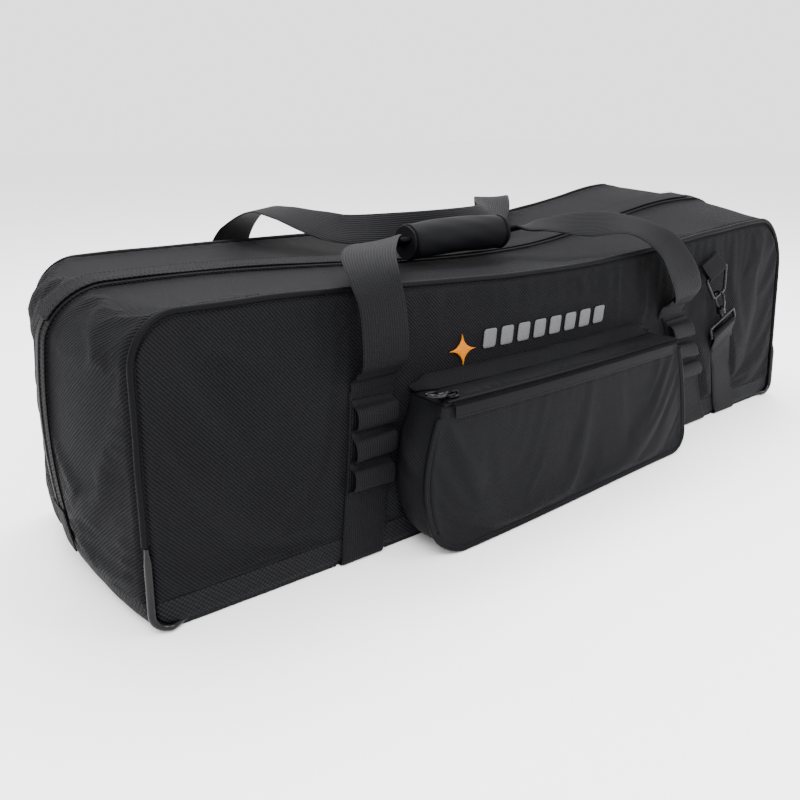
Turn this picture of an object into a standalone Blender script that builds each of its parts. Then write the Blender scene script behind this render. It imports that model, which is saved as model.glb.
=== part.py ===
"""Soft carry case for a telescope, built as the sewn and moulded pieces it comes apart into.

Metres, +Z up, +X along the case, -Y towards the front pocket. The origin is on the ground
under the middle of the base. The rear half of the case is a lid: a zipper runs along the
middle of the top and down both ends, and the lid folds back about the rear base seam.

Soft panels are first laid out on a plain box, and slump() then gives that box the sagging
top and swollen faces of a packed soft case. Webbing and trim that lie on the panels go
through slump() too, so every layer keeps its place on the layer below.
"""
import math

import bmesh
import bpy
from mathutils import Vector

# ---------------------------------------------------------------- driving dimensions
LENGTH = 1.016           # base, end to end
DEPTH = 0.285            # front face to rear face
HEIGHT = 0.285           # plain box, before slump() shapes the top
TOP_RADIUS_LEFT = 0.045  # corner of the front outline, top left
TOP_RADIUS_RIGHT = 0.075
BASE_RADIUS = 0.022      # corner of the front outline at the ground
RIM = 0.031              # height of the seam between the base tray and the panels
STRIP_LOW = 0.0080       # lower edge of the face strips, above the turn of the webbing
SEAM_GAP = 0.0015        # half the space between the tray and the panels above it
SKIN = 0.003             # padded fabric of a panel
FOAM = 0.006             # loose padding board behind a panel
WEB_WIDTH = 0.050        # webbing of the handles and legs
WEB = 0.002              # webbing thickness
GAP = 0.0004             # space kept between pieces that touch
PIPING_RADIUS = 0.003
PANEL_INSET = 0.0072     # edge of a face panel inside the outline, clear of the piping
GUARD_RADIUS = 0.0033
TAPE_WIDTH = 0.015
TAPE_THICKNESS = 0.0012
ZIPPER_LOW = 0.070       # the zipper stops above this height on both ends
FLAP_THICKNESS = 0.0016

LID_HINGE = Vector((0.0, 0.1458, RIM))
LID_SPLIT = 0.0015       # half the gap between front half and lid along the zipper

FRONT_HANDLE_AXIS = Vector((0.0, -0.164, 0.200))
BACK_HANDLE_AXIS = Vector((0.0, 0.164, 0.205))
LEFT_LEG_X = -0.292      # middle of the left webbing leg at the ground
LEFT_LEG_LEAN = -0.08    # how far a leg leans to the left for each metre of height
RIGHT_LEG_X = 0.300
RIGHT_LEG_LEAN = 0.52
LEG_TOP = 0.186
STRAP_X = 0.377
STRAP_LEAN = 0.37
STRAP_TOP = 0.085        # the flat run of the front strap starts below its sewn fold

POCKET_LEFT = -0.231
POCKET_RIGHT = 0.204
POCKET_LEAN = 0.36       # how far the right side leans in for each metre of height
POCKET_BOTTOM = 0.006
POCKET_TOP = 0.170
POCKET_STANDOFF = 0.046  # pocket face ahead of the front panel
POCKET_WALL = 0.0025
POCKET_CORNER = 0.028
POCKET_BEAD = 0.0022     # radius of the pocket's piping

GRIP_LENGTH = 0.145
GRIP_CENTRE = Vector((-0.072, -0.029, 0.2905))
GRIP_RADIUS = 0.0215
GRIP_SLOPE = (0.0, -0.90, 0.40)  # width direction of the folded handle inside the grip
GRIP_BORE = (0.0172, 0.0062)     # half width and half height of the hole for the handle

MATERIALS = {
    "fabric": ((0.030, 0.030, 0.033), 0.85, 0.0),
    "base_fabric": ((0.024, 0.024, 0.026), 0.75, 0.0),
    "pocket_fabric": ((0.022, 0.022, 0.025), 0.80, 0.0),
    "webbing": ((0.028, 0.028, 0.031), 0.70, 0.0),
    "foam": ((0.045, 0.045, 0.048), 0.95, 0.0),
    "board": ((0.060, 0.055, 0.050), 0.80, 0.0),
    "trim": ((0.016, 0.016, 0.018), 0.45, 0.0),
    "guard": ((0.014, 0.014, 0.015), 0.25, 0.0),
    "tape": ((0.020, 0.020, 0.022), 0.65, 0.0),
    "hardware": ((0.020, 0.020, 0.022), 0.25, 0.9),
    "grip": ((0.018, 0.018, 0.020), 0.60, 0.0),
    "emblem_orange": ((0.850, 0.380, 0.030), 0.55, 0.0),
    "emblem_grey": ((0.330, 0.330, 0.345), 0.55, 0.0),
}


# ---------------------------------------------------------------- small helpers
def clear_scene():
    for old in list(bpy.data.objects):
        bpy.data.objects.remove(old, do_unlink=True)


def make_material(slot):
    colour, roughness, metallic = MATERIALS[slot]
    material = bpy.data.materials.new(slot)
    material.use_nodes = True
    shader = material.node_tree.nodes["Principled BSDF"]
    shader.inputs["Base Color"].default_value = (*colour, 1.0)
    shader.inputs["Roughness"].default_value = roughness
    shader.inputs["Metallic"].default_value = metallic
    return material


def ease(value, low, high):
    """0 below low, 1 above high, smooth between."""
    share = min(max((value - low) / (high - low), 0.0), 1.0)
    return share * share * (3.0 - 2.0 * share)


def spread(start, end, count):
    """count + 1 even values from start to end."""
    return [start + (end - start) * i / count for i in range(count + 1)]


def add_object(name, points, faces, slot, pivot=None, parent=None, smooth=True):
    """Makes one closed mesh object; a moving piece gets its origin on its joint."""
    origin = pivot or Vector((0.0, 0.0, 0.0))
    mesh = bpy.data.meshes.new(name)
    mesh.from_pydata([tuple(Vector(p) - origin) for p in points], [], faces)
    work = bmesh.new()
    work.from_mesh(mesh)
    bmesh.ops.recalc_face_normals(work, faces=work.faces)
    work.to_mesh(mesh)
    work.free()
    mesh.materials.append(bpy.data.materials[slot])
    if smooth:
        mesh.shade_smooth()
        mesh.set_sharp_from_angle(angle=math.radians(40.0))
    piece = bpy.data.objects.new(name, mesh)
    piece.location = origin
    if parent is not None:
        piece.parent = parent
        piece.location = origin - parent.location
    bpy.context.scene.collection.objects.link(piece)
    return piece


def add_sheet(name, columns, rows, place, slot, parent=None, pivot=None):
    """Closed sheet on a grid: place(column, row, side) is its outer (0) or inner (1) point."""
    wide = len(columns)
    tall = len(rows)
    points = [place(c, r, side) for side in (0, 1) for c in columns for r in rows]

    def at(i, j, side):
        return side * wide * tall + i * tall + j

    faces = []
    for i in range(wide - 1):
        for j in range(tall - 1):
            faces.append((at(i, j, 0), at(i + 1, j, 0), at(i + 1, j + 1, 0), at(i, j + 1, 0)))
            faces.append((at(i, j, 1), at(i, j + 1, 1), at(i + 1, j + 1, 1), at(i + 1, j, 1)))
    for i in range(wide - 1):
        for j in (0, tall - 1):
            faces.append((at(i, j, 0), at(i, j, 1), at(i + 1, j, 1), at(i + 1, j, 0)))
    for j in range(tall - 1):
        for i in (0, wide - 1):
            faces.append((at(i, j, 0), at(i, j, 1), at(i, j + 1, 1), at(i, j + 1, 0)))
    return add_object(name, points, faces, slot, pivot=pivot, parent=parent)


def add_skin(name, rings, slot, closed=False, pivot=None, parent=None, smooth=True):
    """Closed solid through equal rings of points; an open row of rings gets end caps."""
    sides = len(rings[0])
    points = [p for ring in rings for p in ring]
    faces = []
    last = len(rings) if closed else len(rings) - 1
    for i in range(last):
        here = i * sides
        there = ((i + 1) % len(rings)) * sides
        for k in range(sides):
            after = (k + 1) % sides
            faces.append((here + k, here + after, there + after, there + k))
    if not closed:
        faces.append(tuple(range(sides)))
        faces.append(tuple((len(rings) - 1) * sides + k for k in range(sides)))
    return add_object(name, points, faces, slot, pivot=pivot, parent=parent, smooth=smooth)


def add_sleeve(name, outer, inner, slot, pivot=None, parent=None):
    """Solid with one hole through it: outer and inner are matching pairs of end outlines."""
    count = len(outer[0])
    points = [*outer[0], *outer[1], *inner[0], *inner[1]]
    faces = []
    for k in range(count):
        after = (k + 1) % count
        faces.append((k, after, count + after, count + k))
        faces.append((2 * count + k, 3 * count + k, 3 * count + after, 2 * count + after))
        faces.append((k, 2 * count + k, 2 * count + after, after))
        faces.append((count + k, count + after, 3 * count + after, 3 * count + k))
    return add_object(name, points, faces, slot, pivot=pivot, parent=parent)


def smooth_path(points, steps):
    """Catmull-Rom curve through hand-set points, with steps stretches between each two."""
    knots = [Vector(p) for p in points]
    knots = [2.0 * knots[0] - knots[1], *knots, 2.0 * knots[-1] - knots[-2]]
    path = []
    for i in range(1, len(knots) - 2):
        before, start, end, after = knots[i - 1:i + 3]
        for step in range(steps):
            t = step / steps
            path.append(0.5 * (2.0 * start + (end - before) * t
                               + (2.0 * before - 5.0 * start + 4.0 * end - after) * t * t
                               + (3.0 * start - before - 3.0 * end + after) * t ** 3))
    path.append(knots[-2])
    return path


def tangents(path, closed=False):
    count = len(path)
    result = []
    for i in range(count):
        ahead = path[(i + 1) % count] if closed else path[min(i + 1, count - 1)]
        behind = path[i - 1] if closed or i else path[0]
        result.append((ahead - behind).normalized())
    return result


def ribbon_rings(path, across, widths, thickness, sheared=False):
    """Four-cornered rings of a flat strap; across is its width direction at each point.

    A sheared strap keeps that direction as it is, so that its ends stay level.
    """
    rings = []
    for point, along, side, width, thick in zip(path, tangents(path), across, widths, thickness):
        if not sheared:
            side = (side - along * side.dot(along)).normalized()
        out = along.cross(side).normalized()
        half = 0.5 * width * side
        lift = 0.5 * thick * out
        rings.append([point - half - lift, point + half - lift,
                      point + half + lift, point - half + lift])
    return rings


def add_strap(name, path, slot="webbing", width=WEB_WIDTH, thick=WEB, across=(1.0, 0.0, 0.0),
              pivot=None, parent=None, sheared=True):
    """Flat strap of one width along a path."""
    path = [Vector(p) for p in path]
    count = len(path)
    rings = ribbon_rings(path, [Vector(across)] * count, [width] * count, [thick] * count, sheared)
    return add_skin(name, rings, slot, pivot=pivot, parent=parent)


def laid_rings(path, width=WEB_WIDTH, thick=WEB, turning=False):
    """Rings of a strap that lies on the plain box, each corner then slumped with the panel.

    Its width runs along X, or square to its path where it turns on the face of the case.
    """
    path = [Vector(p) for p in path]
    count = len(path)
    across = [Vector((1.0, 0.0, 0.0))] * count
    if turning:
        across = [along.cross(Vector((0.0, 1.0, 0.0))).normalized() for along in tangents(path)]
    rings = ribbon_rings(path, across, [width] * count, [thick] * count, sheared=True)
    return [[slump(*corner) for corner in ring] for ring in rings]


def add_tube(name, path, radius, slot, closed=False, sides=8, pivot=None, parent=None,
             flat_normal=(0.0, 1.0, 0.0)):
    """Round bar along a path that lies near the plane square to flat_normal."""
    path = [Vector(p) for p in path]
    normal = Vector(flat_normal).normalized()
    rings = []
    for point, along in zip(path, tangents(path, closed)):
        side = along.cross(normal).normalized()
        up = side.cross(along).normalized()
        rings.append([point + radius * (math.cos(a) * side + math.sin(a) * up)
                      for a in spread(0.0, 2.0 * math.pi * (sides - 1) / sides, sides - 1)])
    return add_skin(name, rings, slot, closed=closed, pivot=pivot, parent=parent)


# ---------------------------------------------------------------- the shape of the soft case
def top_height(x, y):
    """Height of the top: it sags in the middle and stands highest at the rear right."""
    middle = math.cos(0.5 * math.pi * min(abs(x) / 0.44, 1.0)) ** 2
    right = ease(x, 0.05, 0.38)
    front = 0.283 - 0.019 * middle
    centre = 0.281 - 0.020 * middle + 0.020 * right
    rear = 0.284 - 0.004 * middle + 0.028 * ease(x, 0.12, 0.44)
    share = 2.0 * y / DEPTH
    return (front * 0.5 * share * (share - 1.0) + centre * (1.0 - share * share)
            + rear * 0.5 * share * (share + 1.0))


def slump(x, y, z):
    """Moves a point of the plain box to its place on the sagging, swollen case."""
    rise = max(z, 0.0) / HEIGHT
    above_rim = min(max((z - RIM) / (HEIGHT - RIM), 0.0), 1.0)
    swell = math.sin(math.pi * above_rim)
    end_share = max((abs(x) - 0.30) / (0.5 * LENGTH - 0.30), 0.0)
    across = max(1.0 - (2.0 * y / DEPTH) ** 2, 0.0)
    end_swell = 0.030 * across * max(1.0 - ((z - 0.145) / 0.20) ** 2, 0.0)
    lean = (0.05 if x < 0.0 else 0.19) * max(z, 0.0) * (1.0 - 0.55 * across)
    side = 1.0 if x > 0.0 else -1.0
    new_x = x + side * (end_share ** 2 * end_swell - end_share * lean)
    middle_share = max(1.0 - (x / 0.53) ** 2, 0.0)
    left = 1.0 - ease(x, -0.25, 0.25)
    if y < 0.0:
        push = 0.006 * swell * middle_share + 0.011 * left * (1.0 - rise) * middle_share ** 0.5
    else:
        push = 0.007 * swell * middle_share
    new_y = y + push * 2.0 * y / DEPTH
    new_z = z + (top_height(x, y) - HEIGHT) * rise * rise
    return Vector((new_x, new_y, new_z))


FRONT = -0.5 * DEPTH
REAR = 0.5 * DEPTH
END = 0.5 * LENGTH


def arc(centre_x, centre_z, radius, start, end, count):
    """(x, z, outward x, outward z) stations round a corner; angles in degrees."""
    stations = []
    for angle in spread(math.radians(start), math.radians(end), count):
        out = (math.cos(angle), math.sin(angle))
        stations.append((centre_x + radius * out[0], centre_z + radius * out[1], *out))
    return stations


def left_end_outline(bottom):
    """Outline stations up the left end and round its top corner."""
    side = [(-END, z, -1.0, 0.0) for z in spread(bottom, HEIGHT - TOP_RADIUS_LEFT, 6)]
    corner = arc(-END + TOP_RADIUS_LEFT, HEIGHT - TOP_RADIUS_LEFT, TOP_RADIUS_LEFT, 180, 90, 6)
    return side + corner[1:]


def right_end_outline(bottom):
    """Outline stations round the top right corner and down the right end."""
    side = [(END, z, 1.0, 0.0) for z in spread(HEIGHT - TOP_RADIUS_RIGHT, bottom, 5)]
    corner = arc(END - TOP_RADIUS_RIGHT, HEIGHT - TOP_RADIUS_RIGHT, TOP_RADIUS_RIGHT, 90, 0, 7)
    return corner + side[1:]


def top_outline(end_gap=0.0):
    """Outline stations along the top, short of the round corners by end_gap."""
    inner = spread(TOP_START, TOP_END, 16)[1:-1]
    places = [TOP_START + end_gap, *inner, TOP_END - end_gap] if end_gap else inner
    return [(x, HEIGHT, 0.0, 1.0) for x in places]


TOP_START = -END + TOP_RADIUS_LEFT
TOP_END = END - TOP_RADIUS_RIGHT


def on_outline(station, y, depth):
    """Slumped point at depth below the outline, or above it where depth is negative."""
    x, z, out_x, out_z = station
    return slump(x - out_x * depth, y, z - out_z * depth)


def panel_low(x, inset=0.0):
    """Lower edge of the rounded front outline at x."""
    return corner_drop(x, BASE_RADIUS, BASE_RADIUS, inset)


def panel_high(x, inset=0.0):
    return HEIGHT - corner_drop(x, TOP_RADIUS_LEFT, TOP_RADIUS_RIGHT, inset)


def corner_drop(x, left_radius, right_radius, inset):
    """How far the outline is from its straight edge at x, because of its round corners."""
    radius = left_radius if x < 0.0 else right_radius
    reach = abs(x) - (END - radius)
    if reach <= 0.0:
        return inset
    inner = radius - inset
    return radius - math.sqrt(max(inner * inner - reach * reach, 0.0))


def panel_columns(inset):
    """x stations across the front or rear face, closer together in the corners."""
    left = [-END + TOP_RADIUS_LEFT - (TOP_RADIUS_LEFT - inset) * math.sin(math.radians(a))
            for a in (90, 68, 45, 22)]
    right = [END - TOP_RADIUS_RIGHT + (TOP_RADIUS_RIGHT - inset) * math.sin(math.radians(a))
             for a in (20, 40, 60, 90)]
    return left + spread(TOP_START, TOP_END, 16) + right


# ---------------------------------------------------------------- fabric of the case
def face_panel(name, low, high, outer_y, inner_y, inset, slot, parent=None, rows=7):
    """Panel of the front or rear face between two height functions of x."""
    def place(x, share, side):
        z = low(x) + (high(x) - low(x)) * share
        return slump(x, inner_y if side else outer_y, z)
    return add_sheet(name, panel_columns(inset), spread(0.0, 1.0, rows), place, slot, parent)


def build_faces(lid):
    """Front and rear panels with their padding, and the coarse strips below them."""
    inset = PANEL_INSET
    for sign, name, parent in ((-1.0, "front", None), (1.0, "back", lid)):
        outer = sign * 0.5 * DEPTH
        face_panel(name + "_panel", lambda x: max(panel_low(x, inset), RIM + SEAM_GAP),
                   lambda x: panel_high(x, inset), outer, outer - sign * SKIN,
                   inset, "fabric", parent)
        pad_outer = outer - sign * (SKIN + 0.001)
        face_panel(name + "_foam", lambda x: RIM + 0.006, lambda x: panel_high(x, 0.016),
                   pad_outer, pad_outer - sign * FOAM, 0.016, "foam", parent)
        face_panel(name + "_base_strip", lambda x: max(panel_low(x, inset), STRIP_LOW),
                   lambda x: RIM - SEAM_GAP, outer, outer - sign * SKIN,
                   inset, "base_fabric", rows=2)


def gusset(name, stations, rows, depth_outer, depth_inner, slot, parent=None):
    """Band of fabric that follows the outline, with a row of points at each y of rows."""
    def place(station, y, side):
        return on_outline(station, y, depth_inner if side else depth_outer)
    return add_sheet(name, stations, rows, place, slot, parent)


def build_gussets(lid):
    """Top and end bands: the front half stays, the rear half lifts with the lid."""
    edge = 0.5 * DEPTH - 2.0 * PIPING_RADIUS
    rows = [LID_SPLIT, TAPE_WIDTH, 0.045, 0.080, 0.110, edge]
    bottom = RIM + SEAM_GAP
    left = left_end_outline(bottom)
    right = right_end_outline(bottom)
    top = top_outline(GAP)
    for sign, half, parent in ((-1.0, "front", None), (1.0, "rear", lid)):
        here = [sign * y for y in rows]
        for name, stations in (("top", top), ("left_end", left), ("right_end", right)):
            gusset(name + "_" + half, stations, here, 0.0, SKIN, "fabric", parent)


def base_channels():
    """x ranges of the shallow channels that take the webbing under the base."""
    margin = 0.5 * WEB_WIDTH + 0.001
    return [(x - margin, x + margin) for x in (LEFT_LEG_X, RIGHT_LEG_X, STRAP_X)]


def build_base():
    """Coarse base panel with webbing channels, its two turned-up ends and the stiff board."""
    start = -END + BASE_RADIUS
    ramp = 0.0003
    lows = {x: 0.0 for x in spread(start, -start, 8)}
    for left, right in base_channels():
        lows = {x: z for x, z in lows.items() if not left - 0.01 < x < right + 0.01}
        lows.update({left - ramp: 0.0, left: WEB + 2.0 * GAP,
                     right: WEB + 2.0 * GAP, right + ramp: 0.0})
    wide = 0.5 * DEPTH - 0.004

    def place(x, y, side):
        return slump(x, y, 0.0055 if side else lows[x])

    add_sheet("base_panel", sorted(lows), spread(-wide, wide, 2), place, "base_fabric")
    corner = arc(start - 0.0008, BASE_RADIUS, BASE_RADIUS - 0.0008, 180, 270, 5)
    cap = [(-END, RIM - SEAM_GAP, -1.0, 0.0), *corner]
    for name, mirror in (("left_base_cap", 1.0), ("right_base_cap", -1.0)):
        stations = [(mirror * x, z, mirror * out_x, out_z) for x, z, out_x, out_z in cap]
        gusset(name, stations, spread(-wide, wide, 4), 0.0, SKIN, "base_fabric")

    def board(x, y, side):
        return slump(x, y, 0.0062 if side else 0.0092)

    add_sheet("base_board", spread(-0.47, 0.47, 4), spread(-0.122, 0.122, 2), board, "board")


def build_piping(lid):
    """Piping round the front and rear faces, and the moulded guards on the base corners."""
    depth = 0.002
    guard_top = 0.088
    for sign, name, parent in ((-1.0, "front", None), (1.0, "back", lid)):
        y = sign * (0.5 * DEPTH - depth)
        low = guard_top + 0.001 if sign < 0.0 else RIM + SEAM_GAP + 0.001
        stations = left_end_outline(low) + top_outline()
        stations += right_end_outline(low)
        add_tube(name + "_piping", [on_outline(s, y, depth) for s in stations],
                 PIPING_RADIUS, "trim", parent=parent, sides=6)
    y = FRONT - GUARD_RADIUS - 2.0 * GAP
    lift = GUARD_RADIUS
    for name, mirror in (("front_left_guard", 1.0), ("front_right_guard", -1.0)):
        side = [(-END, z, -1.0, 0.0) for z in spread(guard_top - 0.001, BASE_RADIUS, 3)]
        corner = arc(-END + BASE_RADIUS, BASE_RADIUS, BASE_RADIUS, 180, 270, 6)
        run = [(-END + BASE_RADIUS + 0.022, 0.0, 0.0, -1.0)]
        stations = side[:-1] + corner + run
        path = [on_outline((mirror * x, z + lift * (1.0 - min(z / 0.03, 1.0)), mirror * a, b),
                           y, 0.0005) for x, z, a, b in stations]
        add_tube(name, path, GUARD_RADIUS, "guard")


def zipper_outline():
    """Stations of the zipper, shared with the panels under it: up one end, over, down the other."""
    bottom = RIM + SEAM_GAP
    stations = left_end_outline(bottom) + top_outline()
    stations += right_end_outline(bottom)
    return [s for s in stations if s[1] > ZIPPER_LOW]


def build_zipper(lid):
    """Two zipper tapes over the top and down both ends, and the rain flap over the top."""
    stations = zipper_outline()
    low, high = -GAP, -GAP - TAPE_THICKNESS
    inner = LID_SPLIT - 0.0007
    gusset("main_zipper_front", stations, [-TAPE_WIDTH, -inner], high, low, "tape")
    gusset("main_zipper_rear", stations, [inner, TAPE_WIDTH], high, low, "tape", lid)
    flap_low = high - GAP
    on_top = [s for s in stations if s[3] > 0.5 and s[0] < TOP_END]
    gusset("zipper_rain_flap", on_top, [-0.010, 0.0, 0.010, 0.022],
           flap_low - FLAP_THICKNESS, flap_low, "fabric", lid)


# ---------------------------------------------------------------- webbing
def leg_x(ground_x, lean, z):
    return ground_x - lean * max(z, 0.0)


def front_web(ground_x, lean, top):
    """Points of a strap from its top down the front face to the edge of the base."""
    y = FRONT - GAP - 0.5 * WEB
    heights = (top, 0.75 * top, 0.5 * top, 0.25 * top, 0.013)
    points = [(leg_x(ground_x, lean, z), y, z) for z in heights]
    turn = ((y, 0.0065), (y + 0.0008, 0.0030), (y + 0.0032, 0.0018), (y + 0.0070, 0.0014))
    return points + [(ground_x, *edge) for edge in turn]


def under_web(ground_x):
    """Points of a strap from the front edge of the base to its rear edge, then up to the seam."""
    y = REAR + GAP + 0.5 * WEB
    low = 0.0014
    points = [(ground_x, share, low) for share in (-0.07, 0.0, 0.07)]
    turn = ((y - 0.0070, low), (y - 0.0032, 0.0018), (y - 0.0008, 0.0030), (y, 0.0065))
    points += [(ground_x, *edge) for edge in turn]
    points.append((ground_x, y, RIM - 0.003))
    return points


def back_web(ground_x, lean, top):
    """Points of a strap up the rear face of the lid."""
    y = REAR + GAP + 0.5 * WEB
    heights = (RIM + 0.003, 0.07, 0.11, 0.15, top)
    return [(leg_x(ground_x, lean, z), y, z) for z in heights]


def turned_rings(x, axis, edge, outward):
    """Rings of a leg's turned-out end, from just short of the handle's axis to its edge ring."""
    face_y = sum(corner.y for corner in edge) / len(edge)
    reach = axis.y - face_y
    points = [Vector((x, axis.y - 0.0022 * outward, axis.z)),
              Vector((x, face_y + 0.5 * reach, axis.z - 0.0008)),
              Vector((x, face_y + 0.25 * reach, axis.z - 0.0045))]
    across = [Vector((1.0, 0.0, 0.0))] * 3
    return ribbon_rings(points, across, [WEB_WIDTH] * 3, [WEB] * 3)


def build_legs(lid):
    """Webbing legs: down the front, under the base and up to the rear seam; then up the lid."""
    legs = (("left", LEFT_LEG_X, LEFT_LEG_LEAN), ("right", RIGHT_LEG_X, RIGHT_LEG_LEAN))
    for name, ground_x, lean in legs:
        axis = FRONT_HANDLE_AXIS
        laid = laid_rings(front_web(ground_x, lean, LEG_TOP) + under_web(ground_x))
        turned = turned_rings(leg_x(ground_x, lean, axis.z), axis, laid[0], -1.0)
        add_skin(name + "_webbing_leg", turned + laid, "webbing")
        axis = BACK_HANDLE_AXIS
        laid = laid_rings(back_web(ground_x, lean, LEG_TOP)[::-1])
        turned = turned_rings(leg_x(ground_x, lean, axis.z), axis, laid[0], 1.0)
        add_skin(name + "_webbing_leg_back", turned + laid, "webbing", parent=lid)


DAISY_LOOPS = (0.160, 0.128, 0.096)   # middle heights of the loops on each front leg
DAISY_HALF = 0.0115
DAISY_STANDOFF = 0.0090
DAISY_THICKNESS = 0.0014


def build_daisy_chains():
    """Narrower webbing sewn to each front leg at intervals, standing off in open loops."""
    y = FRONT - 2.0 * GAP - WEB - 0.5 * DAISY_THICKNESS
    profile = []
    for middle in DAISY_LOOPS:
        profile += [(middle + DAISY_HALF, 0.0), (middle + 0.85 * DAISY_HALF, 0.75),
                    (middle + 0.5 * DAISY_HALF, 1.0), (middle - 0.5 * DAISY_HALF, 1.0),
                    (middle - 0.85 * DAISY_HALF, 0.75), (middle - DAISY_HALF, 0.0)]
    profile = [(0.1775, 0.0), *profile, (0.078, 0.0)]
    legs = (("left", LEFT_LEG_X, LEFT_LEG_LEAN), ("right", RIGHT_LEG_X, RIGHT_LEG_LEAN))
    for name, ground_x, lean in legs:
        path = [(leg_x(ground_x, lean, z), y - out * DAISY_STANDOFF, z) for z, out in profile]
        add_skin(name + "_daisy_chain", laid_rings(path, 0.046, DAISY_THICKNESS), "webbing")


def handle_rings(points):
    """Rings of a carrying handle from (place, width direction, width, thickness) rows."""
    places = smooth_path([p for p, _, _, _ in points], 3)
    sides = smooth_path([w for _, w, _, _ in points], 3)
    sizes = smooth_path([(width, thick, 0.0) for _, _, width, thick in points], 3)
    return ribbon_rings(places, sides, [s.x for s in sizes], [s.y for s in sizes])


def build_handles(lid):
    """Two webbing handles; the front one runs through the padded grip."""
    axis = FRONT_HANDLE_AXIS
    left = leg_x(LEFT_LEG_X, LEFT_LEG_LEAN, axis.z)
    right = leg_x(RIGHT_LEG_X, RIGHT_LEG_LEAN, axis.z)
    grip_left = GRIP_CENTRE.x - 0.5 * GRIP_LENGTH
    grip_right = GRIP_CENTRE.x + 0.5 * GRIP_LENGTH
    wide, folded = (WEB_WIDTH, WEB), (0.024, 0.0044)
    middle_y, middle_z = GRIP_CENTRE.y, GRIP_CENTRE.z
    front = [((left, axis.y - 0.0010, axis.z + 0.0022), (1.0, 0.0, 0.0), *wide),
             ((left, axis.y - 0.0090, axis.z + 0.012), (1.0, 0.0, 0.0), *wide),
             ((left - 0.004, axis.y - 0.0150, axis.z + 0.040), (1.0, 0.0, 0.0), *wide),
             ((left - 0.006, axis.y - 0.0125, axis.z + 0.070), (1.0, 0.0, 0.0), *wide),
             ((left - 0.004, axis.y + 0.0040, axis.z + 0.093), (0.98, -0.20, 0.0), *wide),
             ((left + 0.014, axis.y + 0.0360, axis.z + 0.103), (0.88, -0.46, 0.0), *wide),
             ((left + 0.050, axis.y + 0.0780, axis.z + 0.104), (0.68, -0.70, 0.12), 0.047, WEB),
             ((left + 0.088, axis.y + 0.1130, axis.z + 0.098), (0.34, -0.86, 0.38), 0.038, 0.003),
             ((grip_left - 0.012, middle_y, middle_z), GRIP_SLOPE, *folded),
             ((GRIP_CENTRE.x, middle_y, middle_z), GRIP_SLOPE, *folded),
             ((grip_right + 0.012, middle_y, middle_z), GRIP_SLOPE, *folded),
             ((right - 0.156, axis.y + 0.1020, axis.z + 0.097), (-0.20, -0.92, -0.15), 0.036, 0.003),
             ((right - 0.118, axis.y + 0.0660, axis.z + 0.099), (-0.48, -0.70, -0.50), 0.046, WEB),
             ((right - 0.084, axis.y + 0.0280, axis.z + 0.099), (-0.78, -0.50, -0.28), *wide),
             ((right - 0.054, axis.y - 0.0020, axis.z + 0.078), (-0.92, -0.25, -0.30), *wide),
             ((right - 0.024, axis.y - 0.0110, axis.z + 0.042), (-0.94, -0.05, -0.33), *wide),
             ((right - 0.003, axis.y - 0.0085, axis.z + 0.014), (-0.98, 0.0, -0.15), *wide),
             ((right, axis.y - 0.0010, axis.z + 0.0022), (-1.0, 0.0, 0.0), *wide)]
    add_skin("front_handle", handle_rings(front), "webbing", pivot=axis)

    axis = BACK_HANDLE_AXIS
    left = leg_x(LEFT_LEG_X, LEFT_LEG_LEAN, axis.z)
    right = leg_x(RIGHT_LEG_X, RIGHT_LEG_LEAN, axis.z)
    back = [((left, axis.y + 0.0010, axis.z + 0.0022), (1.0, 0.0, 0.0), *wide),
            ((left, axis.y + 0.0070, axis.z + 0.012), (1.0, 0.0, 0.0), *wide),
            ((left + 0.006, axis.y + 0.0110, axis.z + 0.045), (1.0, 0.0, 0.0), *wide),
            ((left + 0.022, axis.y + 0.0020, axis.z + 0.086), (0.97, 0.20, 0.0), *wide),
            ((left + 0.036, axis.y - 0.0280, axis.z + 0.110), (0.86, 0.50, 0.0), *wide),
            ((left + 0.052, axis.y - 0.0600, axis.z + 0.110), (0.76, 0.58, 0.15), *wide),
            ((left + 0.076, axis.y - 0.0960, axis.z + 0.100), (0.60, 0.62, 0.42), *wide),
            ((left + 0.108, axis.y - 0.1260, axis.z + 0.093), (0.30, 0.62, 0.68), 0.042, WEB),
            ((GRIP_CENTRE.x, axis.y - 0.1450, axis.z + 0.092), (0.0, 0.40, 0.92), 0.036, WEB),
            ((right - 0.160, axis.y - 0.1300, axis.z + 0.092), (-0.25, 0.65, 0.65), 0.040, WEB),
            ((right - 0.110, axis.y - 0.0900, axis.z + 0.098), (-0.55, 0.72, 0.30), *wide),
            ((right - 0.068, axis.y - 0.0450, axis.z + 0.104), (-0.75, 0.60, 0.0), *wide),
            ((right - 0.034, axis.y - 0.0080, axis.z + 0.090), (-0.90, 0.30, -0.20), *wide),
            ((right - 0.012, axis.y + 0.0110, axis.z + 0.048), (-0.95, 0.05, -0.25), *wide),
            ((right - 0.002, axis.y + 0.0075, axis.z + 0.014), (-0.99, 0.0, -0.08), *wide),
            ((right, axis.y + 0.0010, axis.z + 0.0022), (-1.0, 0.0, 0.0), *wide)]
    add_skin("back_handle", handle_rings(back), "webbing", pivot=axis)


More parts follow.
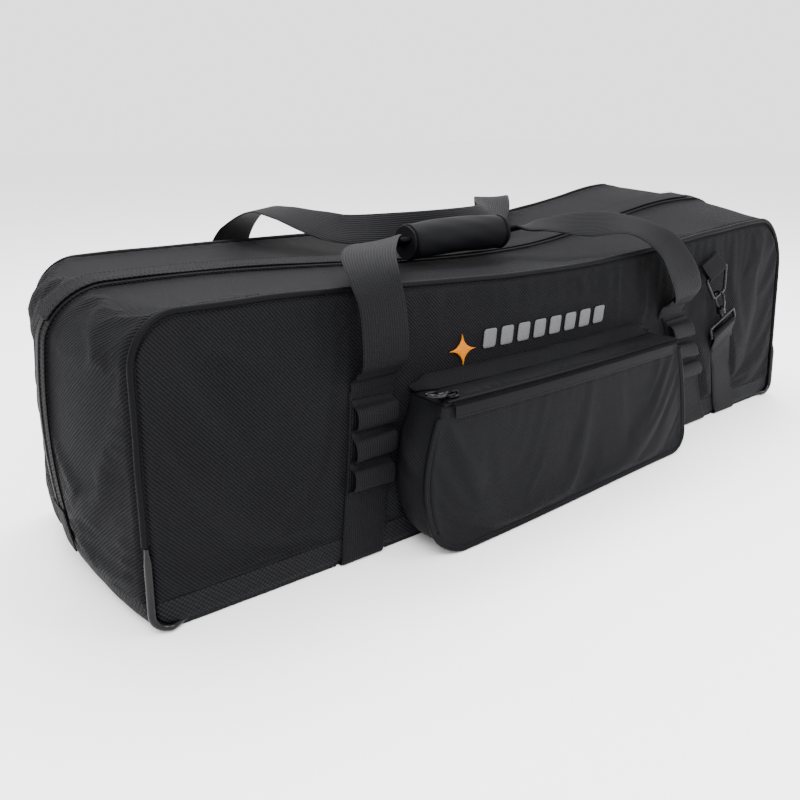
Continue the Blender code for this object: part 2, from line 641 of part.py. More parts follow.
def build_grip():
    """Padded grip wrapped round the front handle, open through its middle."""
    across = Vector(GRIP_SLOPE).normalized()
    through = Vector((1.0, 0.0, 0.0)).cross(across)
    outer = []
    inner = []
    for x in (-0.5 * GRIP_LENGTH, 0.5 * GRIP_LENGTH):
        centre = GRIP_CENTRE + Vector((x, 0.0, 0.0))
        angles = spread(0.0, 2.0 * math.pi * 15.0 / 16.0, 15)
        outer.append([centre + GRIP_RADIUS * (math.cos(a) * across + math.sin(a) * through)
                      for a in angles])
        inner.append([centre + GRIP_BORE[0] * math.cos(a) * across
                      + GRIP_BORE[1] * math.sin(a) * through for a in angles])
    add_sleeve("handle_grip", outer, inner, "grip", pivot=FRONT_HANDLE_AXIS)


# ---------------------------------------------------------------- pocket
def pocket_x(x, z):
    """The pocket narrows upwards: its right side leans in and its left side stands upright."""
    share = (x - POCKET_LEFT) / (POCKET_RIGHT - POCKET_LEFT)
    return x - share * POCKET_LEAN * z


def pocket_outline(inset):
    """Open outline of the pocket seen from the front: down the left, along, up the right."""
    left = POCKET_LEFT + inset
    right = POCKET_RIGHT - inset
    low = POCKET_BOTTOM + inset
    radius = POCKET_CORNER - inset
    heights = spread(POCKET_TOP, low + radius, 4)[:-1]
    corners = [[(centre_x + radius * math.cos(math.radians(start + step)),
                 low + radius + radius * math.sin(math.radians(start + step)))
                for step in spread(0.0, 90.0, 5)]
               for centre_x, start in ((left + radius, 180.0), (right - radius, 270.0))]
    bottom = [(x, low) for x in spread(left + radius, right - radius, 8)[1:-1]]
    outline = [(left, z) for z in heights] + corners[0] + bottom + corners[1]
    outline += [(right, z) for z in reversed(heights)]
    return [(pocket_x(x, z), z) for x, z in outline]


POCKET_BACK = FRONT - 3.0 * GAP
POCKET_FACE = FRONT - POCKET_STANDOFF


def build_pocket():
    """Gusseted pocket sewn to the front: a tray of walls with a face, open at the top."""
    outer = pocket_outline(0.0)
    inner = pocket_outline(POCKET_WALL)
    rings = []
    for (x, z), (in_x, in_z) in zip(outer, inner):
        rings.append([slump(x, POCKET_BACK, z), slump(x, POCKET_FACE, z),
                      slump(in_x, POCKET_FACE, in_z), slump(in_x, POCKET_BACK, in_z)])
    add_skin("pocket_gusset", rings, "pocket_fabric")

    face_back = POCKET_FACE - 2.0 * GAP
    face_front = face_back - POCKET_WALL

    def low(x):
        reach = max(POCKET_LEFT + POCKET_CORNER - x, x - POCKET_RIGHT + POCKET_CORNER, 0.0)
        return (POCKET_BOTTOM + POCKET_CORNER
                - math.sqrt(max(POCKET_CORNER ** 2 - reach ** 2, 0.0)))

    def place(x, share, side):
        z = low(x) + (POCKET_TOP - low(x)) * share
        return slump(pocket_x(x, z), face_back if side else face_front, z)

    angles = (90, 65, 40, 20)
    columns = [POCKET_LEFT + POCKET_CORNER * (1.0 - math.sin(math.radians(a))) for a in angles]
    columns += spread(POCKET_LEFT + POCKET_CORNER, POCKET_RIGHT - POCKET_CORNER, 8)
    columns += [POCKET_RIGHT - POCKET_CORNER * (1.0 - math.sin(math.radians(a)))
                for a in reversed(angles)]
    add_sheet("pocket_face", columns, spread(0.0, 1.0, 4), place, "pocket_fabric")

    piping_y = POCKET_FACE - 0.0012
    path = [slump(x, piping_y, z) for x, z in pocket_outline(-POCKET_BEAD - 2.0 * GAP)
            if z < POCKET_TOP - 0.01]
    add_tube("pocket_piping", path, POCKET_BEAD, "trim", sides=6)

    def tape(x, z, side):
        near = face_front - GAP
        return slump(pocket_x(x, z), near if side else near - TAPE_THICKNESS, z)

    add_sheet("pocket_zipper", spread(POCKET_LEFT + 0.004, POCKET_RIGHT - 0.004, 10),
              [POCKET_TOP - 0.014, POCKET_TOP], tape, "tape")


FLAP_LOW = POCKET_TOP + 0.0012
FLAP_HIGH = FLAP_LOW + 0.0024
FLAP_BACK = FRONT - 0.0020
FLAP_COLUMNS = [pocket_x(x, POCKET_TOP) for x in spread(POCKET_LEFT, POCKET_RIGHT, 8)]
FLAP_EDGE = [slump(x, FLAP_BACK, FLAP_HIGH) for x in FLAP_COLUMNS]
POCKET_HINGE = Vector((0.0, max(p.y for p in FLAP_EDGE), max(p.z for p in FLAP_EDGE)))


def build_pocket_flap():
    """Lid of the pocket with its zipper tape; it lifts about the seam on the front panel."""
    front_edge = POCKET_FACE - 0.0040

    def place(x, y, side):
        return slump(x, y, FLAP_LOW if side else FLAP_HIGH)

    add_sheet("pocket_flap", FLAP_COLUMNS, spread(front_edge, FLAP_BACK, 3), place,
              "pocket_fabric", pivot=POCKET_HINGE)

    def tape(x, y, side):
        return slump(x, y, FLAP_HIGH + GAP + (0.0 if side else TAPE_THICKNESS))

    add_sheet("pocket_flap_tape", FLAP_COLUMNS, [front_edge, front_edge + TAPE_WIDTH], tape,
              "tape", pivot=POCKET_HINGE)
    top_z = slump(POCKET_LEFT + 0.02, front_edge, FLAP_HIGH).z + GAP + TAPE_THICKNESS + 0.0006
    place = Vector((POCKET_LEFT + 0.016, slump(POCKET_LEFT, front_edge, FLAP_HIGH).y + 0.0075,
                    top_z))
    build_slider("pocket", place, Vector((-1.0, 0.0, 0.0)), Vector((0.0, 0.0, 1.0)), 0.022)


# ---------------------------------------------------------------- zipper sliders
SLIDER_OUTER = ((-0.0065, 0.0), (0.0065, 0.0), (0.0060, 0.0024), (0.0038, 0.0062),
                (-0.0038, 0.0062), (-0.0060, 0.0024))
SLIDER_INNER = ((-0.0036, 0.0022), (0.0036, 0.0022), (0.0038, 0.0030), (0.0029, 0.0050),
                (-0.0029, 0.0050), (-0.0038, 0.0030))
PULL_PIN_HEIGHT = 0.0036


def half_width(height):
    """The slider is wide on the tape and narrow at its bridge."""
    return 0.0046 if height < 0.001 else 0.0013


def build_slider(prefix, place, along, out, length):
    """Zipper slider with its bridge, and the pull whose eye passes under that bridge."""
    across = out.cross(along)

    def put(a, b, n):
        return place + along * a + across * b + out * n

    outer = [[put(a, side * half_width(n), n) for a, n in SLIDER_OUTER] for side in (-1.0, 1.0)]
    inner = [[put(a, side * half_width(n), n) for a, n in SLIDER_INNER] for side in (-1.0, 1.0)]
    add_sleeve(prefix + "_slider", outer, inner, "hardware", pivot=place)
    end = 0.0085 + length
    eye = ((0.0010, -0.0024), (0.0078, -0.0024), (0.0080, -0.0008), (0.0080, 0.0008),
           (0.0078, 0.0024), (0.0010, 0.0024))
    tab = ((-0.0008, -0.0042), (0.0090, -0.0042), (end, -0.0026), (end, 0.0026),
           (0.0090, 0.0042), (-0.0008, 0.0042))
    pin = PULL_PIN_HEIGHT
    outer = [[put(a, b, pin + lift) for a, b in tab] for lift in (-0.0006, 0.0006)]
    inner = [[put(a, b, pin + lift) for a, b in eye] for lift in (-0.0006, 0.0006)]
    add_sleeve(prefix + "_pull", outer, inner, "hardware", pivot=put(0.0, 0.0, pin))


SLIDER_TRAVEL = 0.038
UPPER_SLIDER = 0.158     # heights of the two sliders where the zipper is closed
LOWER_SLIDER = 0.116


def end_point(height):
    """Outside of the zipper tape on the right end."""
    return slump(END + GAP + TAPE_THICKNESS, 0.0, height)


def slider_frame(height, travel_end):
    """Place, downward direction and outward direction of a slider on the right end."""
    start = end_point(height)
    stop = end_point(travel_end)
    down = (start - stop).normalized()
    if down.z > 0.0:
        down = -down
    out = Vector((0.0, 1.0, 0.0)).cross(-down)
    bow = max((end_point(z) - start).dot(out) for z in spread(height, travel_end, 8))
    return start + out * (bow + 0.0014), down, out


def build_main_sliders():
    """The two sliders of the main zipper meet on the right end, their pulls hanging down."""
    for name, height, end in (("upper_main", UPPER_SLIDER, UPPER_SLIDER + SLIDER_TRAVEL),
                              ("lower_main", LOWER_SLIDER, LOWER_SLIDER - SLIDER_TRAVEL)):
        place, down, out = slider_frame(height, end)
        build_slider(name, place, down, out, 0.024)


# ---------------------------------------------------------------- strap hardware
RING_HEIGHT = 0.0112     # middle of the ring bar above the panel
RING_WIRE = 0.0020
RING_LENGTH = 0.034
HOOK_BEND = 0.0064       # radius of the hook's bend, to the middle of its wire
HOOK_WIRE = 0.0016
HOOK_CENTRE = RING_LENGTH + 0.0022
BARREL_START = 0.0555
BARREL_END = 0.0650
LOOP_START = 0.0745
LOOP_END = 0.0905
LOOP_BEND = 0.0035
LOOP_WIRE = 0.0020
HEM = 0.118              # end of the strap's sewn fold


class Place:
    """Puts points given along the strap, across it and out from the panel into the world."""

    def __init__(self, origin, along, out):
        self.origin = origin
        self.along = along.normalized()
        self.out = (out - self.along * out.dot(self.along)).normalized()
        self.across = self.out.cross(self.along)

    def __call__(self, a, b, n):
        return self.origin + self.along * a + self.across * b + self.out * n


def build_tab(prefix, put, parent):
    """Webbing tab folded round the top bar of the ring."""
    turn = [(0.0034 * math.sin(math.radians(t)), RING_HEIGHT - 0.0034 * math.cos(math.radians(t)))
            for t in spread(0.0, 180.0, 8)]
    profile = [(-0.020, 0.0020), (-0.010, 0.0024), (-0.005, 0.0050), *turn,
               (-0.006, RING_HEIGHT + 0.0005), (-0.016, 0.0062), (-0.020, 0.0046)]
    path = [put(a, 0.0, n) for a, n in profile]
    add_strap(prefix + "_ring_tab", path, width=0.036, thick=0.0013, across=put.across,
              parent=parent)


def build_ring(prefix, put):
    """Tapered wire ring that hangs from its tab."""
    half, foot = 0.0225, 0.0120
    corner = ((0.0, -half + 0.003), (0.0, half - 0.003), (0.0012, half - 0.0008),
              (0.0045, half), (RING_LENGTH - 0.006, foot + 0.0015),
              (RING_LENGTH - 0.0012, foot - 0.0008), (RING_LENGTH, foot - 0.004),
              (RING_LENGTH, -foot + 0.004), (RING_LENGTH - 0.0012, -foot + 0.0008),
              (RING_LENGTH - 0.006, -foot - 0.0015), (0.0045, -half),
              (0.0012, -half + 0.0008))
    path = [put(a, b, RING_HEIGHT) for a, b in corner]
    add_tube(prefix + "_ring", path, RING_WIRE, "hardware", closed=True, flat_normal=put.out,
             pivot=put(0.0, 0.0, RING_HEIGHT))


def build_hook(prefix, put, parent=None):
    """Swivel snap hook in three pieces: hook, gate and the square loop that the strap holds."""
    centre = HOOK_CENTRE
    bend = [(centre - HOOK_BEND * math.sin(math.radians(t)),
             RING_HEIGHT - HOOK_BEND * math.cos(math.radians(t))) for t in spread(0.0, 180.0, 8)]
    tip = (centre + 0.0035, RING_HEIGHT + HOOK_BEND)
    wire = [(BARREL_START + 0.0010, RING_HEIGHT - 0.0030), (BARREL_START - 0.0030,
            RING_HEIGHT - HOOK_BEND + 0.0010), (centre + 0.007, RING_HEIGHT - HOOK_BEND), *bend, tip]
    rings = []
    path = [put(a, 0.0, n) for a, n in wire]
    for point, along in zip(path, tangents(path)):
        side = put.across
        up = side.cross(along).normalized()
        rings.append([point + HOOK_WIRE * (math.cos(a) * side + math.sin(a) * up)
                      for a in spread(0.0, 1.75 * math.pi, 7)])
    barrel = []
    for a, radius in ((BARREL_START, 0.0050), (BARREL_START + 0.001, 0.0058),
                      (BARREL_END - 0.001, 0.0058), (BARREL_END, 0.0050),
                      (BARREL_END + 0.0004, 0.0022), (LOOP_START - 0.0040, 0.0022)):
        barrel.append([put(a, radius * math.cos(t), RING_HEIGHT + radius * math.sin(t))
                       for t in spread(0.0, 2.0 * math.pi * 11.0 / 12.0, 11)])
    pivot = put(BARREL_START, 0.0, RING_HEIGHT)
    hook = add_skin(prefix + "_hook", rings, "hardware", pivot=pivot)
    drum = add_skin(prefix + "_hook_drum", barrel, "hardware", pivot=pivot)
    join(hook, drum)

    gate_pin = put(BARREL_START - 0.0030, 0.0, RING_HEIGHT + HOOK_BEND - 0.0006)
    half = 0.0019
    bar = []
    for a, n in ((centre + 0.0044, HOOK_BEND), (BARREL_START - 0.0012, HOOK_BEND - 0.0010)):
        bar.append([put(a, side * half, RING_HEIGHT + n + lift)
                    for side, lift in ((-1, -0.0012), (1, -0.0012), (1, 0.0012), (-1, 0.0012))])
    add_skin(prefix + "_gate", bar, "hardware", pivot=gate_pin)

    near, far = LOOP_START + LOOP_BEND, LOOP_END - LOOP_BEND
    half = 0.0275 - LOOP_BEND
    path = []
    for centre_a, centre_b, start in ((near, half, 180.0), (far, half, 90.0),
                                      (far, -half, 0.0), (near, -half, -90.0)):
        for turn in spread(start, start - 90.0, 3):
            path.append(put(centre_a + LOOP_BEND * math.cos(math.radians(turn)),
                            centre_b + LOOP_BEND * math.sin(math.radians(turn)), RING_HEIGHT))
    add_tube(prefix + "_square_loop", path, LOOP_WIRE, "hardware", closed=True,
             flat_normal=put.out, parent=parent)


def join(target, tool):
    """Boolean union of two solids into the first."""
    union = target.modifiers.new("union", "BOOLEAN")
    union.operation = "UNION"
    union.object = tool
    tool.hide_render = True
    tool.display_type = "WIRE"


def fold_points(put):
    """The strap's sewn end: on top from its hem, round the loop's lower bar, back along."""
    radius = 0.0034
    turn = [(LOOP_END - radius * math.sin(math.radians(t)),
             RING_HEIGHT + radius * math.cos(math.radians(t))) for t in spread(0.0, 180.0, 8)]
    profile = [(HEM, 0.0066), (HEM - 0.008, 0.0072), (LOOP_END + 0.006, RING_HEIGHT + 0.0015),
               *turn, (LOOP_END + 0.007, 0.0066), (HEM - 0.008, 0.0040)]
    return [put(a, 0.0, n) for a, n in profile]


def face_point(x, z):
    return slump(x, FRONT, z)


def build_front_strap():
    """Shoulder strap from its hook down the front, under the base and up to the rear seam."""
    top = face_point(0.2790, 0.2300)
    foot = face_point(leg_x(STRAP_X, STRAP_LEAN, 0.10), 0.10)
    put = Place(top, foot - top, Vector((0.0, -1.0, 0.0)))
    build_tab("front", put, None)
    build_ring("front", put)
    build_hook("front", put)
    fold = fold_points(put)
    laid = front_web(STRAP_X, STRAP_LEAN, STRAP_TOP) + under_web(STRAP_X)
    laid = laid_rings(laid)
    across = [put.across] * len(fold)
    rings = ribbon_rings(fold, across, [WEB_WIDTH] * len(fold), [WEB] * len(fold), sheared=True)
    add_skin("shoulder_strap", match_side(rings, laid) + laid, "webbing")


BACK_LAYER = WEB + GAP   # the strap passes over the rear webbing legs
BACK_TAB = (-0.385, 0.1473)
BACK_RUN_START = (-0.247, 0.1378)
BACK_BEND = 0.055        # the strap turns down to the base with this radius
BACK_BEND_START = 85.0   # where the straight run meets the bend, in degrees


def back_run():
    """(x, z) points of the strap on the rear face: straight, then round to the rear seam."""
    centre_x, centre_z = STRAP_X - BACK_BEND, RIM + 0.003
    bend = [(centre_x + BACK_BEND * math.cos(math.radians(a)),
             centre_z + BACK_BEND * math.sin(math.radians(a)))
            for a in spread(BACK_BEND_START, 0.0, 7)]
    return [back_run_point(share) for share in spread(0.0, 1.0, 5)[:-1]] + bend


def back_run_point(share):
    """Point of the straight run, from its start to the bend."""
    start_x, start_z = BACK_RUN_START
    end_x = STRAP_X - BACK_BEND + BACK_BEND * math.cos(math.radians(BACK_BEND_START))
    end_z = RIM + 0.003 + BACK_BEND * math.sin(math.radians(BACK_BEND_START))
    return start_x + (end_x - start_x) * share, start_z + (end_z - start_z) * share


def build_back_strap(lid):
    """The strap's other half: up from the rear seam, across the lid to the ring at its left."""
    y = REAR + GAP + 0.5 * WEB + BACK_LAYER
    start = slump(BACK_TAB[0], REAR, BACK_TAB[1])
    foot = slump(BACK_RUN_START[0], REAR, BACK_RUN_START[1])
    put = Place(start, foot - start, Vector((0.0, 1.0, 0.0)))
    build_tab("back", put, lid)
    build_ring("back", put)
    build_hook("back", put, lid)
    fold = fold_points(put)
    laid = laid_rings([(x, y, z) for x, z in back_run()], turning=True)
    rings = ribbon_rings(fold, [put.across] * len(fold), [WEB_WIDTH] * len(fold),
                         [WEB] * len(fold), sheared=True)
    add_skin("shoulder_strap_back", match_side(rings, laid) + laid, "webbing", parent=lid)
    outer = []
    inner = []
    for share in (0.50, 0.54):
        x, z = back_run_point(share)
        centre = slump(x, y, z)
        along = (slump(x + 0.01, y, z - 0.00086) - centre).normalized()
        rise = (slump(x, y, z + 0.02) - slump(x, y, z - 0.02)).normalized()
        frame = Place(centre, along, rise.cross(along))
        corners = ((1.0, -1.0), (1.0, 1.0), (-1.0, 1.0), (-1.0, -1.0))
        outer.append([frame(0.0, 0.0305 * b, 0.0031 * n) for b, n in corners])
        inner.append([frame(0.0, 0.0268 * b, 0.0018 * n) for b, n in corners])
    add_sleeve("strap_slide", outer, inner, "hardware", parent=lid)


def match_side(rings, following):
    """Starts each ring at its opposite corner, where its width direction runs the other way."""
    width = rings[-1][1] - rings[-1][0]
    if width.dot(following[0][1] - following[0][0]) > 0.0:
        return rings
    return [ring[2:] + ring[:2] for ring in rings]


# ---------------------------------------------------------------- emblem
EMBLEM_THICKNESS = 0.0012
STAR_CENTRE = (-0.163, 0.206)
STAR_REACH = 0.0175
STRIPE_LEFT, STRIPE_RIGHT = -0.137, 0.064
STRIPE_LOW, STRIPE_HIGH = 0.201, 0.226


def build_emblem():
    """Plain embroidered star and stripe on the front panel."""
    near = FRONT - 2.0 * GAP
    far = near - EMBLEM_THICKNESS
    rings = []
    for y in (near, far):
        ring = []
        for k in range(8):
            reach = STAR_REACH if k % 2 == 0 else 0.40 * STAR_REACH
            angle = math.radians(45.0 * k)
            ring.append(slump(STAR_CENTRE[0] + reach * math.sin(angle), y,
                              STAR_CENTRE[1] + reach * math.cos(angle)))
        rings.append(ring)
    add_skin("emblem_star", rings, "emblem_orange")

    def place(x, z, side):
        return slump(x, near if side else far, z)

    add_sheet("emblem_stripe", spread(STRIPE_LEFT, STRIPE_RIGHT, 5),
              [STRIPE_LOW, STRIPE_HIGH], place, "emblem_grey")


# ---------------------------------------------------------------- main
def main():
    clear_scene()
    for slot in MATERIALS:
        make_material(slot)
    lid = bpy.data.objects.new("lid_hinge_axis", None)
    lid.location = LID_HINGE
    bpy.context.scene.collection.objects.link(lid)
    build_base()
    build_faces(lid)
    build_gussets(lid)
    build_piping(lid)
    build_zipper(lid)
    build_legs(lid)
    build_daisy_chains()
    build_handles(lid)
    build_grip()
    build_pocket()
    build_pocket_flap()
    build_main_sliders()
    build_front_strap()
    build_back_strap(lid)
    build_emblem()


main()
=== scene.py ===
"""Looks of the telescope carry case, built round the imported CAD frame.

Fabric panels are laid out on a plain box, like the CAD, and slump() gives them the shape of the
packed case. Each panel then gets its own folds and puckers, a thickness, a weave and its
stitches. Every point of cloth carries its place on the flat cloth in metres, in the attribute
"weave", and the materials draw their threads from that.
"""
import math

import bmesh
import bpy
import numpy as np
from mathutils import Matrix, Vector


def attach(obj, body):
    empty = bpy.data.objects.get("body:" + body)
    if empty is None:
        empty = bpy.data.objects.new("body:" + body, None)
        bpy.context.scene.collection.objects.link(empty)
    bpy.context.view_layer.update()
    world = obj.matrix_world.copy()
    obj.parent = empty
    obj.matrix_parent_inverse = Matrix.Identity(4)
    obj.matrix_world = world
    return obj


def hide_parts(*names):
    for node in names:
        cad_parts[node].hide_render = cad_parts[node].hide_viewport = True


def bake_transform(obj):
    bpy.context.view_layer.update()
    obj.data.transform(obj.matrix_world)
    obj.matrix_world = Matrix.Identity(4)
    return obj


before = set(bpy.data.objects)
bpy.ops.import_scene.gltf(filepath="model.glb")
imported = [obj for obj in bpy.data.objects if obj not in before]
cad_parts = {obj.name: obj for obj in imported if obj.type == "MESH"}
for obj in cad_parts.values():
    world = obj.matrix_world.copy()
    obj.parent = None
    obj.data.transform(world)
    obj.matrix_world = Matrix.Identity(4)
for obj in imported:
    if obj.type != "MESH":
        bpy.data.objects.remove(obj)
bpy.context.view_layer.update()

# ---------------------------------------------------------------- dimensions, as in the CAD
LENGTH = 1.016
DEPTH = 0.285
HEIGHT = 0.285
TOP_RADIUS_LEFT = 0.045
TOP_RADIUS_RIGHT = 0.075
BASE_RADIUS = 0.022
RIM = 0.031
WEB_WIDTH = 0.050
WEB = 0.002
GAP = 0.0004
PIPING_RADIUS = 0.003
TAPE_WIDTH = 0.015
TAPE_THICKNESS = 0.0012
ZIPPER_LOW = 0.070
FRONT = -0.5 * DEPTH
REAR = 0.5 * DEPTH
END = 0.5 * LENGTH
LEFT_LEG_X, LEFT_LEG_LEAN = -0.292, -0.08
RIGHT_LEG_X, RIGHT_LEG_LEAN = 0.300, 0.52
STRAP_X, STRAP_LEAN = 0.377, 0.37
FRONT_HANDLE_AXIS = Vector((0.0, -0.164, 0.200))
BACK_HANDLE_AXIS = Vector((0.0, 0.164, 0.205))
LID_HINGE = Vector((0.0, 0.1458, RIM))
POCKET_LEFT, POCKET_RIGHT, POCKET_LEAN = -0.231, 0.204, 0.36
POCKET_BOTTOM, POCKET_TOP = 0.006, 0.170
POCKET_STANDOFF = 0.046
POCKET_CORNER = 0.028
POCKET_BEAD = 0.0022
POCKET_FACE = FRONT - POCKET_STANDOFF
GRIP_CENTRE = Vector((-0.072, -0.029, 0.2905))
GRIP_LENGTH = 0.145
GRIP_RADIUS = 0.0215
STEP = 0.005             # spacing of the points on large panels
POCKET_STEP = 0.004      # and on the pocket
FRONT_PIPING_LOW = 0.088 # the front piping is in two parts, which meet at this height
FACE_INSET = 0.0050      # from the outline to the edge of the cloth on both faces
SHELL_CLOTH = 0.003
POCKET_CLOTH = 0.0025
LAID = GAP + 0.5 * WEB   # height of the middle of laid webbing above the cloth
POCKET_MOUTH = POCKET_FACE - 0.0040
FLAP_HEIGHT = POCKET_TOP + 0.0036
BAND_CENTRE = np.array([0.0, 0.0, 0.13])
RIGHTWARD, FORWARD, UPWARD = (1.0, 0.0, 0.0), (0.0, -1.0, 0.0), (0.0, 0.0, 1.0)
LEGS = (("left", LEFT_LEG_X, LEFT_LEG_LEAN), ("right", RIGHT_LEG_X, RIGHT_LEG_LEAN))


# ---------------------------------------------------------------- shape of the case
def ease(value, low, high):
    """0 below low, 1 above high, smooth between."""
    share = np.clip((np.asarray(value, float) - low) / (high - low), 0.0, 1.0)
    return share * share * (3.0 - 2.0 * share)


def top_height(x, y):
    """Height of the top: it sags in the middle and stands highest at the rear right."""
    middle = np.cos(0.5 * math.pi * np.minimum(np.abs(x) / 0.44, 1.0)) ** 2
    right = ease(x, 0.05, 0.38)
    front = 0.283 - 0.019 * middle
    centre = 0.281 - 0.020 * middle + 0.020 * right
    rear = 0.284 - 0.004 * middle + 0.028 * ease(x, 0.12, 0.44)
    share = 2.0 * y / DEPTH
    return (front * 0.5 * share * (share - 1.0) + centre * (1.0 - share * share)
            + rear * 0.5 * share * (share + 1.0))


def slump(x, y, z):
    """Moves points of the plain box to their places on the sagging, swollen case."""
    x, y, z = np.broadcast_arrays(*(np.asarray(v, float) for v in (x, y, z)))
    height = np.maximum(z, 0.0)
    rise = height / HEIGHT
    swell = np.sin(math.pi * np.clip((z - RIM) / (HEIGHT - RIM), 0.0, 1.0))
    end_share = np.maximum((np.abs(x) - 0.30) / (END - 0.30), 0.0)
    across = np.maximum(1.0 - (2.0 * y / DEPTH) ** 2, 0.0)
    end_swell = 0.030 * across * np.maximum(1.0 - ((z - 0.145) / 0.20) ** 2, 0.0)
    lean = np.where(x < 0.0, 0.05, 0.19) * height * (1.0 - 0.55 * across)
    new_x = x + np.where(x > 0.0, 1.0, -1.0) * (end_share ** 2 * end_swell - end_share * lean)
    middle_share = np.maximum(1.0 - (x / 0.53) ** 2, 0.0)
    left = 1.0 - ease(x, -0.25, 0.25)
    front_push = 0.006 * swell * middle_share + 0.011 * left * (1.0 - rise) * middle_share ** 0.5
    push = np.where(y < 0.0, front_push, 0.007 * swell * middle_share)
    new_z = z + (top_height(x, y) - HEIGHT) * rise * rise
    return np.stack([new_x, y + push * 2.0 * y / DEPTH, new_z], -1)


def arc(x, z, radius, angles):
    """(x, z, outward x, outward z) rows round an arc."""
    return [(x + radius * math.cos(a), z + radius * math.sin(a), math.cos(a), math.sin(a))
            for a in angles]


def outline(low):
    """Dense (x, z, outward x, outward z, run) stations up the left end, over and down the right."""
    left_x, right_x = -END + TOP_RADIUS_LEFT, END - TOP_RADIUS_RIGHT
    left_z, right_z = HEIGHT - TOP_RADIUS_LEFT, HEIGHT - TOP_RADIUS_RIGHT
    rows = [(-END, z, -1.0, 0.0) for z in np.arange(low, left_z - 0.5 * STEP, STEP)]
    rows += arc(left_x, left_z, TOP_RADIUS_LEFT, np.linspace(math.pi, 0.5 * math.pi, 16))
    rows += [(x, HEIGHT, 0.0, 1.0) for x in np.arange(left_x + STEP, right_x - 0.5 * STEP, STEP)]
    rows += arc(right_x, right_z, TOP_RADIUS_RIGHT, np.linspace(0.5 * math.pi, 0.0, 24))
    rows += [(END, z, 1.0, 0.0) for z in np.arange(right_z - STEP, low, -STEP)]
    table = np.array([*rows, (END, low, 1.0, 0.0)])
    steps = np.hypot(*np.diff(table[:, :2], axis=0).T)
    return np.column_stack([table, np.concatenate([[0.0], np.cumsum(steps)])])


def base_corner(radius, count):
    """Stations round the lower left corner of the outline, from the end to the base."""
    return arc(-END + BASE_RADIUS, BASE_RADIUS, radius,
               np.linspace(math.pi, 1.5 * math.pi, count))


def end_side(high, low, count):
    """Stations down the straight left end of the outline."""
    return [(-END, z, -1.0, 0.0) for z in np.linspace(high, low, count)]


def on_outline(stations, y, depth):
    """Slumped points at a depth below the outline; stations run down the first axis."""
    x, z, out_x, out_z = (stations[:, k][:, None] for k in range(4))
    y = np.asarray(y, float)[None, :]
    return slump(x - out_x * depth, y, z - out_z * depth)


def corner_drop(x, left_radius, right_radius, inset):
    """How far the outline is from its straight edge at x, because of its round corners."""
    radius = np.where(x < 0.0, left_radius, right_radius)
    reach = np.abs(x) - (END - radius)
    inner = radius - inset
    drop = radius - np.sqrt(np.maximum(inner * inner - reach * reach, 0.0))
    return np.where(reach <= 0.0, inset, drop)


def leg_x(ground_x, lean, z):
    return ground_x - lean * np.maximum(z, 0.0)


# ---------------------------------------------------------------- folds
def fold(u, v, start, end, width, height):
    """A soft ridge, or a valley if height is negative, along a line that fades at its ends."""
    du, dv = end[0] - start[0], end[1] - start[1]
    length = math.hypot(du, dv)
    along = ((u - start[0]) * du + (v - start[1]) * dv) / length ** 2
    side = ((u - start[0]) * dv - (v - start[1]) * du) / length
    fade = ease(along, -0.15, 0.25) * (1.0 - ease(along, 0.70, 1.15))
    return height * np.exp(-(side / width) ** 2) * fade


def ripple(u, v, size, seed):
    """Smooth uneven surface of waves in many directions, about -1 to 1."""
    total = np.zeros(np.broadcast(u, v).shape)
    for k in range(7):
        turn = 2.399 * k + 0.7 * seed
        pitch = size * (0.75 + 0.13 * ((5 * k + 3 * seed) % 7))
        total = total + np.sin((u * math.cos(turn) + v * math.sin(turn)) * 2.0 * math.pi / pitch
                               + 1.9 * k + seed)
    return total / 4.0


def puckers(run, distance, pitch, reach, depth, seed):
    """Small gathers square to a seam, fading away from it."""
    uneven = 0.6 + 0.4 * ripple(run, 0.0, 0.11, seed + 3)
    phase = run + 0.35 * pitch * ripple(run, 0.0, 0.07, seed)
    return depth * uneven * np.sin(2.0 * math.pi * phase / pitch) * np.exp(-distance / reach)


# ---------------------------------------------------------------- meshes
def add_object(name, data):
    """A new object in the scene."""
    added = bpy.data.objects.new(name, data)
    bpy.context.scene.collection.objects.link(added)
    return added


def put_object(name, points, faces, material, weave=None, smooth=True):
    """A closed mesh object with the flat place of each point in the weave attribute."""
    mesh = bpy.data.meshes.new(name)
    mesh.from_pydata([tuple(p) for p in points], [], faces)
    work = bmesh.new()
    work.from_mesh(mesh)
    bmesh.ops.recalc_face_normals(work, faces=work.faces)
    work.to_mesh(mesh)
    work.free()
    if weave is not None:
        flat = np.zeros((len(mesh.vertices), 3), np.float32)
        flat[:, :2] = weave
        attribute = mesh.attributes.new("weave", "FLOAT_VECTOR", "POINT")
        attribute.data.foreach_set("vector", flat.ravel())
    mesh.materials.append(material)
    if smooth:
        mesh.shade_smooth()
        mesh.set_sharp_from_angle(angle=math.radians(50.0))
    return add_object(name, mesh)


def finish_piece(piece, body, nodes=(), hinge=None):
    """Puts a piece under its body's empty and hides the CAD nodes it replaces; given a hinge, whose
    bodies, start and end are not used, it bakes the transform in instead.
    """
    if hinge is None:
        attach(piece, body)
    else:
        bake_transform(piece)
    if nodes:
        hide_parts(*nodes)
    return piece


def unit(vectors):
    return vectors / np.maximum(np.linalg.norm(vectors, axis=-1, keepdims=True), 1e-12)


def on_flat(u, v):
    """Places on the flat cloth, from two arrays that broadcast together."""
    return np.stack(np.broadcast_arrays(u, v), -1)


def run_along(path):
    """Length of a path up to each of its points."""
    steps = np.linalg.norm(np.diff(path, axis=0), axis=1)
    return np.concatenate([[0.0], np.cumsum(steps)])


def quads(*corners):
    """Faces from four equal arrays of point numbers."""
    return np.stack([c.ravel() for c in corners], -1).tolist()


